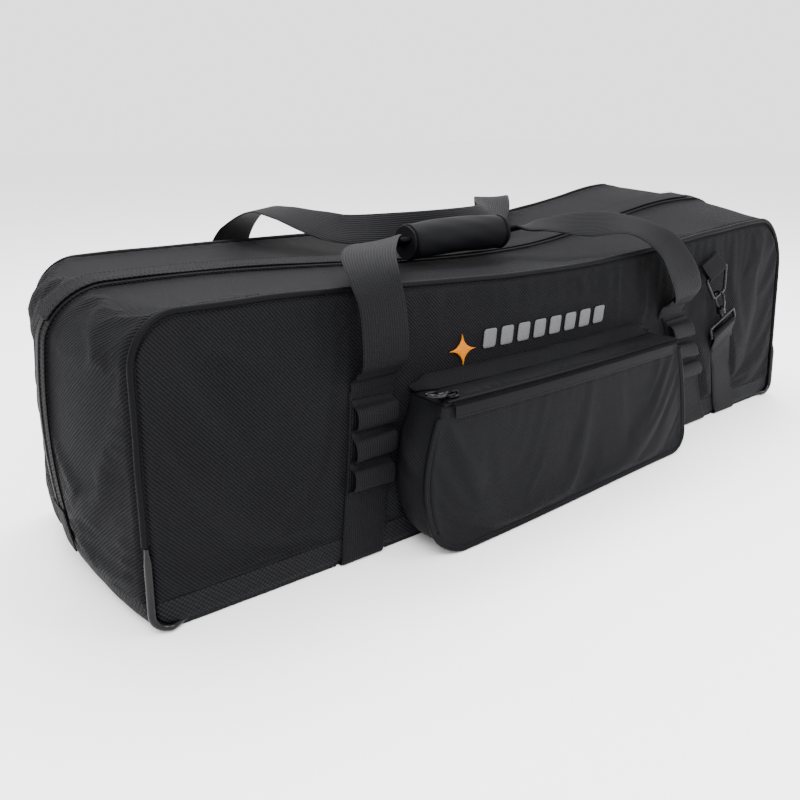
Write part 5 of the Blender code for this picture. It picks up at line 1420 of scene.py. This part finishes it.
def build_pocket_face():
    """Soft front face of the pocket, settled between its seams."""
    angles = np.radians(np.linspace(88.0, 6.0, 10))
    left = POCKET_LEFT + POCKET_CORNER * (1.0 - np.sin(angles))
    right = POCKET_RIGHT - POCKET_CORNER * (1.0 - np.sin(angles[::-1]))
    middle = np.arange(POCKET_LEFT + POCKET_CORNER, POCKET_RIGHT - POCKET_CORNER + 0.001, POCKET_STEP)
    x = np.concatenate([left, middle, right])[:, None]
    low = pocket_low(x)
    share = np.concatenate([[0.0, 0.012, 0.03], np.linspace(0.06, 0.95, 38), [0.975, 0.99, 1.0]])
    z = low + (POCKET_TOP - low) * share[None, :]
    x = np.broadcast_to(x, z.shape)
    lift = pocket_face_lift(x, z, low)
    base = slump(pocket_x(x, z), POCKET_FACE - 2.0 * GAP - 0.0016, z)
    seed = settle(base, FORWARD, 0.010, 1.6, lift, 0.012)
    edge = np.minimum(np.minimum(x - POCKET_LEFT, POCKET_RIGHT - x),
                      np.minimum(z - low, POCKET_TOP - z))
    lift = np.where(edge > 0.010, seed, seed * ease(edge, 0.0, 0.010)) \
        + edge_roll(edge, 0.004, 0.0022)
    face = cloth("pocket_front", base, lift, POCKET_CLOTH, "pocket_fabric", on_flat(x, z), FORWARD)
    finish_piece(face, "bag", ["pocket_face"])


def flap_columns():
    left, right = pocket_x(POCKET_LEFT, POCKET_TOP), pocket_x(POCKET_RIGHT, POCKET_TOP)
    return np.linspace(left, right, int((right - left) / POCKET_STEP))


def build_pocket_trim():
    """Piping with its flange, and the lower tape with its rows of stitches."""
    rows = pocket_outline(-POCKET_BEAD - GAP)
    rows = rows[rows[:, 1] < POCKET_TOP - 0.008]
    bulge = 0.55 * pocket_bulge(rows[:, 0], rows[:, 1], 0.9) * np.abs(rows[:, 2])
    path = slump(rows[:, 0] + rows[:, 2] * bulge, POCKET_FACE - 0.0014, rows[:, 1])
    cord = tube("pocket_cord", path, POCKET_BEAD, "trim", sides=12)
    finish_piece(cord, "bag", ["pocket_piping"])
    path = slump(rows[:, 0] + rows[:, 2] * (bulge - 0.0026), POCKET_FACE - 0.0006,
                 rows[:, 1] - 0.0026 * rows[:, 3])
    flange = tube("pocket_flange", path, 0.0026, "pocket_fabric", sides=8)
    finish_piece(flange, "bag")
    x = flap_columns()[3:-3][:, None]
    near = POCKET_FACE - 2.0 * GAP - 0.0025 - 0.0020
    z = np.array([POCKET_TOP - 0.0145, POCKET_TOP - 0.0135, POCKET_TOP - 0.008,
                  POCKET_TOP - 0.002, POCKET_TOP + 0.0004])[None, :]
    base = slump(x, near, z)
    lift = edge_roll(np.minimum(z - z[0, 0], z[0, -1] - z), 0.0012, 0.0004)
    tape = cloth("pocket_tape_low", base, lift, TAPE_THICKNESS, "tape", on_flat(z, x), FORWARD)
    finish_piece(tape, "bag", ["pocket_zipper"])
    line = slump(flap_columns()[2:-2], near - 0.0001, POCKET_TOP - 0.0125)
    second = slump(flap_columns()[2:-2], near + 0.0004, POCKET_TOP - 0.0175)
    stitches("pocket_stitches", [(line, FORWARD), (second + (0.0, -0.0030, 0.0), FORWARD)],
             "bag")


def build_pocket_flap():
    """Soft lid of the pocket: it swells between its seams, with a rolled front edge and a tape."""
    x = flap_columns()[:, None]
    back_edge = FRONT - 0.0016
    share = np.concatenate([[0.0, 0.015, 0.04], np.linspace(0.08, 0.94, 18), [0.975, 1.0]])
    y = POCKET_MOUTH + (back_edge - POCKET_MOUTH) * share[None, :]
    x, y = np.broadcast_arrays(x, y)
    ends = np.minimum(x - x[0], x[-1] - x)
    edge = np.minimum(np.minimum(y - POCKET_MOUTH, back_edge - y), ends)
    lift = 0.0024 * np.sin(math.pi * share)[None, :] * ease(ends, 0.0, 0.05)
    lift = lift + 0.0008 * ripple(x, y, 0.05, 3)
    lift = lift + puckers(x, y - POCKET_MOUTH - 0.014, 0.013, 0.016, 0.0010, 2) * (y > POCKET_MOUTH)
    lift = lift + puckers(x, back_edge - y, 0.017, 0.010, 0.0010, 7)
    lift = lift * ease(edge, 0.0, 0.010) + edge_roll(edge, 0.0026, 0.0020)
    base = slump(x, y, FLAP_HEIGHT)
    flap = cloth("pocket_lid", base, lift, 0.0024, "pocket_fabric", on_flat(x, y), UPWARD)
    finish_piece(flap, "pocket_flap", ["pocket_flap"])
    width = np.array([0.0, 0.0008, 0.004, 0.008, 0.012, 0.0142, 0.015])[None, :]
    columns = flap_columns()[1:-1][:, None]
    base = slump(columns, POCKET_MOUTH - 0.0006 + width, FLAP_HEIGHT + 0.0014)
    lift = edge_roll(np.minimum(width, 0.015 - width), 0.0012, 0.0005)
    tape = cloth("pocket_tape_high", base, lift, TAPE_THICKNESS, "tape", on_flat(width, columns),
                 UPWARD)
    finish_piece(tape, "pocket_flap", ["pocket_flap_tape"])
    rows = []
    for inward, above in ((0.0066, 0.0052), (0.0126, 0.0052), (0.0170, 0.0050)):
        line = slump(flap_columns()[2:-2], POCKET_MOUTH + inward, POCKET_TOP + above)
        rows.append((line, UPWARD))
    stitches("pocket_flap_stitches", rows, "pocket_flap")
    build_pocket_teeth()
    build_pocket_hinge(back_edge)


def build_pocket_teeth():
    """Coil teeth along the pocket's mouth, alternating between its face and its lid."""
    x = np.arange(flap_columns()[0] + 0.010, flap_columns()[-1] - 0.006, 0.0011)
    for start, name, body, low, high in ((0, "pocket_teeth_low", "bag", -0.0018, 0.0016),
                                         (1, "pocket_teeth_high", "pocket_flap", 0.0046, 0.0010)):
        near = slump(x[start::2], POCKET_MOUTH - 0.0012, POCKET_TOP + low)
        far = slump(x[start::2], POCKET_MOUTH - 0.0022, POCKET_TOP + high)
        section = ((-1, 0.6), (1, 0.6), (1, -0.3), (0.4, -1), (-0.4, -1), (-1, -0.3))
        bars = [[place + np.array([0.0005 * side, 0.0006 * out, 0.0])
                 for place in ends for side, out in section] for ends in zip(near, far)]
        zipper_teeth(name, bars, body)


def build_pocket_hinge(back_edge):
    """Seam allowance that joins the pocket's lid to the front panel."""
    columns = np.linspace(flap_columns()[0] - 0.002, flap_columns()[-1] + 0.002, 100)[:, None]
    low = smooth_path([(FRONT - 0.0012, POCKET_TOP + 0.0095), (FRONT - 0.0015, POCKET_TOP + 0.0078),
                       (back_edge - 0.0014, POCKET_TOP + 0.0062),
                       (back_edge - 0.0045, POCKET_TOP + 0.0056),
                       (back_edge - 0.0080, POCKET_TOP + 0.0062)], 6)
    high = smooth_path([(FRONT - 0.0010, POCKET_TOP + 0.0180), (FRONT - 0.0042, POCKET_TOP + 0.0158),
                        (FRONT - 0.0080, POCKET_TOP + 0.0122),
                        (back_edge - 0.0110, POCKET_TOP + 0.0084),
                        (back_edge - 0.0150, POCKET_TOP + 0.0060)], 6)
    share = ease(np.minimum(columns - columns[0], columns[-1] - columns), 0.0, 0.024)
    base = slump(columns, *(low[:, i] * (1.0 - share) + high[:, i] * share for i in (0, 1)))
    run = np.linspace(0.0, 0.024, len(low))[None, :]
    lift = (0.0010 * ripple(columns, run, 0.05, 2) + puckers(columns, run, 0.011, 0.03, 0.0005, 3)
            ) * np.sin(math.pi * run / 0.024)
    binding = cloth("pocket_lid_binding", base, lift, 0.0010, "pocket_fabric",
                    on_flat(columns, run), (0.0, -1.0, 1.0))
    middle = slump(0.0, FRONT, POCKET_TOP)
    finish_piece(binding, "bag", (),
                 ("bag", "pocket_flap", (0.0, middle[1] - 0.0060, middle[2] + 0.0105),
                  (0.0, middle[1] - 0.0110, middle[2] + 0.0066)))


# ---------------------------------------------------------------- zipper sliders
SLIDER_HALF_LENGTH = 0.0066


def slider_looks(prefix, origin, along, out, length, loop):
    """Slider with a rounded body and bridge; its pull is an eye with a cord loop or a leaf."""
    put = Place(origin, along, out)
    outline_points = []
    for t in np.linspace(0.0, 2.0 * math.pi, 28, endpoint=False):
        a = SLIDER_HALF_LENGTH * math.copysign(abs(math.cos(t)) ** 0.75, math.cos(t))
        wide = 0.0047 - 0.00055 * (a / SLIDER_HALF_LENGTH)
        b = wide * math.copysign(abs(math.sin(t)) ** 0.70, math.sin(t))
        outline_points.append((a, b))
    rings = np.array([[put(a * s, b * s, n) for a, b in outline_points]
                      for n, s in ((0.0, 0.93), (0.0003, 1.0), (0.0014, 1.0), (0.0021, 0.93),
                                   (0.0024, 0.80))])
    body = ring_solid(prefix + "_slider_body", rings, "hardware")
    finish_piece(body, prefix + "_slider", [prefix + "_slider"])
    arch = smooth_path([put(a, 0.0, n) for a, n in
                        ((0.0056, 0.0016), (0.0052, 0.0040), (0.0032, 0.0058), (0.0, 0.0062),
                         (-0.0032, 0.0058), (-0.0052, 0.0040), (-0.0056, 0.0016))], 4)
    bridge = ribbon(prefix + "_slider_bridge", arch, put.across, 0.0028, 0.0012, "hardware",
                    twist_free=True)
    finish_piece(bridge, prefix + "_slider")
    pin = 0.0036
    corners = [(-0.0004, -0.0026), (-0.0004, 0.0026), (0.0020, 0.0036), (0.0078, 0.0038),
               (0.0100, 0.0026), (0.0100, -0.0026), (0.0078, -0.0038), (0.0020, -0.0036)]
    eye = smooth_path([*corners, corners[0]], 3)[:-1]
    eye = tube(prefix + "_pull_eye", [put(a, b, pin) for a, b in eye], 0.0008,
               "hardware", closed=True, sides=10)
    finish_piece(eye, prefix + "_pull", [prefix + "_pull"])
    end = 0.0085 + length
    if loop:
        build_cord_loop(prefix, put, pin, end)
    else:
        build_leaf(prefix, put, pin, end)


def build_leaf(prefix, put, pin, end):
    """Cast metal leaf with a raised rim, narrow at its root and rounded at its tip."""
    rings = []
    for a, b, n in ((0.0094, 0.0016, 0.0006), (0.0110, 0.0030, 0.0008), (0.0150, 0.0039, 0.0008),
                    (0.0210, 0.0038, 0.0008), (end - 0.0040, 0.0030, 0.0008),
                    (end - 0.0010, 0.0021, 0.0007), (end, 0.0010, 0.0004)):
        rings.append([put(a, b * x, pin + n * h) for x, h in
                      ((-1.0, 0.0), (-0.94, 0.85), (-0.80, 1.0), (-0.66, 0.55), (0.66, 0.55),
                       (0.80, 1.0), (0.94, 0.85), (1.0, 0.0), (0.90, -0.9), (-0.90, -0.9))])
    leaf = ring_solid(prefix + "_pull_leaf", np.array(rings), "hardware")
    finish_piece(leaf, prefix + "_pull")


def build_cord_loop(prefix, put, pin, end):
    """Thick cord threaded through the pull's eye and doubled back, bound near the slider."""
    path = smooth_path([put(a, b, n) for a, b, n in
                        ((end, 0.0012, pin + 0.0042), (end - 0.003, 0.0046, pin + 0.0040),
                         (end - 0.010, 0.0056, pin + 0.0030), (0.0135, 0.0034, pin + 0.0020),
                         (0.0082, 0.0008, pin + 0.0024), (0.0068, 0.0, pin + 0.0004),
                         (0.0088, -0.0008, pin - 0.0016), (0.0140, -0.0034, pin + 0.0012),
                         (end - 0.010, -0.0056, pin + 0.0026), (end - 0.003, -0.0046, pin + 0.0038),
                         (end, -0.0012, pin + 0.0042))], 6)[:-1]
    cord = tube(prefix + "_pull_cord", path, 0.0019, "guard", closed=True, sides=12)
    finish_piece(cord, prefix + "_pull")
    rings = []
    for a, s in ((0.0128, 0.80), (0.0132, 1.0), (0.0165, 1.04), (0.0198, 1.0), (0.0202, 0.80)):
        rings.append([put(a, 0.0060 * s * math.cos(t), pin + 0.0016 + 0.0030 * s * math.sin(t))
                      for t in np.linspace(0.0, 2.0 * math.pi, 20, endpoint=False)])
    sleeve = ring_solid(prefix + "_pull_sleeve", np.array(rings), "guard")
    finish_piece(sleeve, prefix + "_pull")


SLIDER_TRAVEL = 0.038
UPPER_SLIDER = 0.158
LOWER_SLIDER = 0.116


def end_point(height):
    return Vector(slump(END + GAP + TAPE_THICKNESS, 0.0, height))


def slider_frame(height, travel_end):
    """Place, downward direction and outward direction of a slider on the right end."""
    start, stop = end_point(height), end_point(travel_end)
    down = (start - stop).normalized()
    if down.z > 0.0:
        down = -down
    out = Vector((0.0, 1.0, 0.0)).cross(-down)
    bow = max((end_point(z) - start).dot(out) for z in np.linspace(height, travel_end, 9))
    return start + out * (bow + 0.0014), down, out


def build_sliders():
    for name, height, end in (("upper_main", UPPER_SLIDER, UPPER_SLIDER + SLIDER_TRAVEL),
                              ("lower_main", LOWER_SLIDER, LOWER_SLIDER - SLIDER_TRAVEL)):
        slider_looks(name, *slider_frame(height, end), 0.024, loop=False)
    edge = slump(POCKET_LEFT, POCKET_MOUTH, FLAP_HEIGHT)
    top = slump(POCKET_LEFT + 0.02, POCKET_MOUTH, FLAP_HEIGHT)[2] + GAP + TAPE_THICKNESS + 0.0006
    slider_looks("pocket", (POCKET_LEFT + 0.016, edge[1] + 0.0075, top), (-1.0, 0.0, 0.0),
                 UPWARD, 0.022, loop=True)


# ---------------------------------------------------------------- emblem
EMBLEM_FACE = FRONT - 2.0 * GAP
STAR_CENTRE = (-0.163, 0.206)
STAR_REACH = 0.0175
STRIPE_LEFT, STRIPE_RIGHT = -0.137, 0.064
STRIPE_LOW, STRIPE_HIGH = 0.201, 0.226
STRIPES = 8
STRIPE_SLANT = 0.16


def build_emblem():
    """Raised satin embroidery: a four-pointed star and a row of slanted bars."""
    angles = np.linspace(0.0, 2.0 * math.pi, 96, endpoint=False)
    reach = (np.abs(np.cos(angles)) ** 0.58 + np.abs(np.sin(angles)) ** 0.58) ** (-1.0 / 0.58)
    rings = []
    for share, height in ((1.0, -0.0002), (1.0, 0.0006), (0.93, 0.0012), (0.80, 0.0015),
                          (0.5, 0.0017), (0.2, 0.0018)):
        x = STAR_CENTRE[0] + STAR_REACH * share * reach * np.sin(angles)
        z = STAR_CENTRE[1] + STAR_REACH * share * reach * np.cos(angles)
        rings.append(slump(x, EMBLEM_FACE - height, z))
    rings = np.array(rings)
    flat = rings[..., (0, 2)]
    star = ring_solid("star", rings, "emblem_orange", flat)
    finish_piece(star, "bag", ["emblem_star"])
    pitch = (STRIPE_RIGHT - STRIPE_LEFT) / STRIPES
    for k in range(STRIPES):
        left = STRIPE_LEFT + pitch * k + 0.0035
        build_bar("bar_%d" % (k + 1), left, left + pitch - 0.0075, k == 0)


def build_bar(name, left, right, replacing):
    """One slanted bar of the emblem, with rounded corners and a raised middle."""
    centre_x, centre_z = 0.5 * (left + right), 0.5 * (STRIPE_LOW + STRIPE_HIGH)
    half_x, half_z = 0.5 * (right - left), 0.5 * (STRIPE_HIGH - STRIPE_LOW) - 0.0015
    angles = np.linspace(0.0, 2.0 * math.pi, 40, endpoint=False)
    u = np.sign(np.cos(angles)) * np.abs(np.cos(angles)) ** 0.30
    v = np.sign(np.sin(angles)) * np.abs(np.sin(angles)) ** 0.30
    rings = []
    for share, height in ((1.0, -0.0002), (1.0, 0.0005), (0.95, 0.0010), (0.80, 0.0013),
                          (0.4, 0.0014)):
        inset_x = half_x * (1.0 - 2.2 * (1.0 - share)) if share > 0.6 else 0.3 * half_x
        z = centre_z + half_z * v * share
        x = centre_x + inset_x * u + STRIPE_SLANT * (z - centre_z)
        rings.append(slump(x, EMBLEM_FACE - height, z))
    rings = np.array(rings)
    flat = rings[..., (2, 0)]
    bar = ring_solid(name, rings, "emblem_grey", flat)
    finish_piece(bar, "bag", ["emblem_stripe"] if replacing else [])


# ---------------------------------------------------------------- inside
def build_inside():
    """Padding behind both faces, quilted along its length."""
    for sign, name, body in ((-1.0, "front_foam", "bag"), (1.0, "back_foam", "lid")):
        inset = 0.016
        x, z, low, high = face_grid(inset, RIM + 0.006, None, np.linspace(0.0, 1.0, 40))
        edge = np.minimum(np.minimum(z - low, high - z), END - inset - np.abs(x))
        quilt = np.abs(np.sin(math.pi * (z - 0.037) / 0.060)) ** 0.5
        lift = 0.0016 * (quilt - 1.0) + 0.0006 * ripple(x, z, 0.05, 6)
        lift = lift + edge_roll(edge, 0.006, 0.0030)
        base = slump(x, sign * (0.5 * DEPTH - 0.0040 - 0.0062), z)
        pad = cloth(name + "_pad", base, lift, 0.0050, "foam", on_flat(x, z), (0.0, -sign, 0.0))
        finish_piece(pad, body, [name])


def build_board():
    """Stiff board in the base, with round corners and eased edges."""
    wide, long, radius = 0.122, 0.47, 0.02
    rings = []
    for z, grow in ((0.0062, -0.001), (0.0068, 0.0), (0.0086, 0.0), (0.0092, -0.001)):
        border = []
        for to_x, to_y, start in ((1.0, 1.0, 0.0), (-1.0, 1.0, 90.0), (-1.0, -1.0, 180.0),
                                  (1.0, -1.0, 270.0)):
            border += arc(to_x * (long - radius), to_y * (wide - radius), radius + grow,
                          np.radians(np.linspace(start, start + 90.0, 10)))
        rings.append([slump(x, y, z) for x, y, *_ in border])
    board = ring_solid("base_stiffener", np.array(rings), "board")
    finish_piece(board, "bag", ["base_board"])


# ---------------------------------------------------------------- seams
def build_seams():
    """Binding over the lid's fold, and the rows of stitches on the front."""
    x = np.linspace(-END + 0.006, END - 0.006, 230)[:, None]
    z = np.array([0.0235, 0.0245, 0.028, 0.031, 0.034, 0.0375, 0.0385])[None, :]
    base = slump(x, REAR + 0.0002, z)
    lift = edge_roll(np.minimum(z - z[0, 0], z[0, -1] - z), 0.0012, 0.0005) + 0.0004
    fold_strip = cloth("lid_fold_binding", base, lift, 0.0010, "tape", on_flat(z, x),
                       (0.0, 1.0, 0.0))
    finish_piece(fold_strip, "lid", (), lid_fold(0.003))
    rows = []
    for height in (RIM + 0.0035, RIM + 0.0085):
        line_x = np.linspace(-END + 0.010, END - 0.010, 200)
        rows.append((slump(line_x, FRONT - 0.0004, height), FORWARD))
    for _, beside, lean, top in (*((*leg, 0.184) for leg in LEGS),
                                 ("strap", STRAP_X, STRAP_LEAN, 0.085)):
        for side in (-0.0215, 0.0215):
            height = np.linspace(0.012, top, 50)
            rows.append((slump(leg_x(beside, lean, height) + side, FRONT - GAP - WEB - 0.0001,
                               height), FORWARD))
    for _, beside, lean in LEGS:
        for height in (0.1845, 0.1790, 0.1440, 0.1120, 0.0795):
            line_x = leg_x(beside, lean, height) + np.linspace(-0.021, 0.021, 12)
            layer = 2.0 * WEB + 2.0 * GAP if height < 0.18 else WEB + GAP
            rows.append((slump(line_x, FRONT - layer - 0.0004, height), FORWARD))
    stitches("front_stitches", rows, "bag")


def build_band_stitches():
    """Three rows along the front half of the zipper, and three along its rear half and flap."""
    stations, on_top = zipper_stations()
    for name, body, lines in (
            ("zipper_stitches_front", "bag",
             ((stations, -0.0135, 0.0019), (stations, -0.0180, 0.0004), (stations, -0.0062, 0.0019))),
            ("zipper_stitches_rear", "lid",
             ((on_top, 0.0195, 0.0050), (on_top, -0.0070, 0.0052), (stations, 0.0180, 0.0004)))):
        rows = []
        for path, y, height in lines:
            line = on_outline(path, [y], -height)[:, 0]
            out = unit(line - on_outline(path, [y], 0.004)[:, 0])
            rows.append((line, out))
        stitches(name, rows, body)


# ---------------------------------------------------------------- studio
CAMERA_PLACE = (-0.6625, -0.7073, 0.4263)
CAMERA_HEADING = 53.0    # degrees from +X towards +Y
CAMERA_DROP = 20.8       # degrees below the horizon


def aim(thing, place, ahead):
    """Puts a light or camera at a place, looking ahead."""
    thing.location = place
    thing.rotation_mode = "QUATERNION"
    thing.rotation_quaternion = ahead.to_track_quat("-Z", "Y")


def area_light(name, place, target, size, power):
    data = bpy.data.lights.new(name, "AREA")
    data.shape = "RECTANGLE"
    data.size, data.size_y = size
    data.energy = power
    light = add_object(name, data)
    aim(light, place, Vector(target) - Vector(place))


def build_studio():
    """Pale seamless floor, soft lights and the camera."""
    mesh = bpy.data.meshes.new("floor")
    half = 8.0
    mesh.from_pydata([(-half, -half, 0.0), (half, -half, 0.0), (half, half, 0.0),
                      (-half, half, 0.0)], [], [(0, 1, 2, 3)])
    maker = Maker("floor", (0.97, 0.97, 0.97), 0.8, specular=0.1)
    mesh.materials.append(maker.material)
    floor = add_object("floor", mesh)
    world = bpy.data.worlds.new("studio")
    world.use_nodes = True
    background = world.node_tree.nodes["Background"]
    background.inputs["Color"].default_value = (1.0, 1.0, 1.0, 1.0)
    background.inputs["Strength"].default_value = 2.2
    bpy.context.scene.world = world
    area_light("key", (-1.1, -1.5, 2.0), (0.0, 0.0, 0.12), (1.6, 1.0), 95.0)
    area_light("top", (0.2, 0.5, 1.9), (0.0, 0.0, 0.2), (1.8, 0.9), 70.0)
    area_light("glint", (1.0, -1.6, 1.0), (0.3, -0.15, 0.15), (0.5, 0.5), 22.0)
    data = bpy.data.cameras.new("camera")
    data.lens = 34.29
    data.sensor_width = 36.0
    data.clip_start = 0.01
    data.clip_end = 60.0
    camera = add_object("camera", data)
    turn, drop = math.radians(CAMERA_HEADING), math.radians(CAMERA_DROP)
    ahead = Vector((math.cos(turn) * math.cos(drop), math.sin(turn) * math.cos(drop),
                    -math.sin(drop)))
    aim(camera, CAMERA_PLACE, ahead)
    bpy.context.scene.camera = camera


# ---------------------------------------------------------------- everything
build_shell()
build_base()
build_piping()
build_low_piping()
build_guards()
build_zipper()
build_legs()
build_daisy_chains()
build_handles()
build_feet()
build_grip()
build_shoulder_strap()
build_back_strap()
build_pocket()
build_pocket_face()
build_pocket_trim()
build_pocket_flap()
build_sliders()
build_emblem()
build_inside()
build_board()
build_seams()
build_band_stitches()
build_studio()
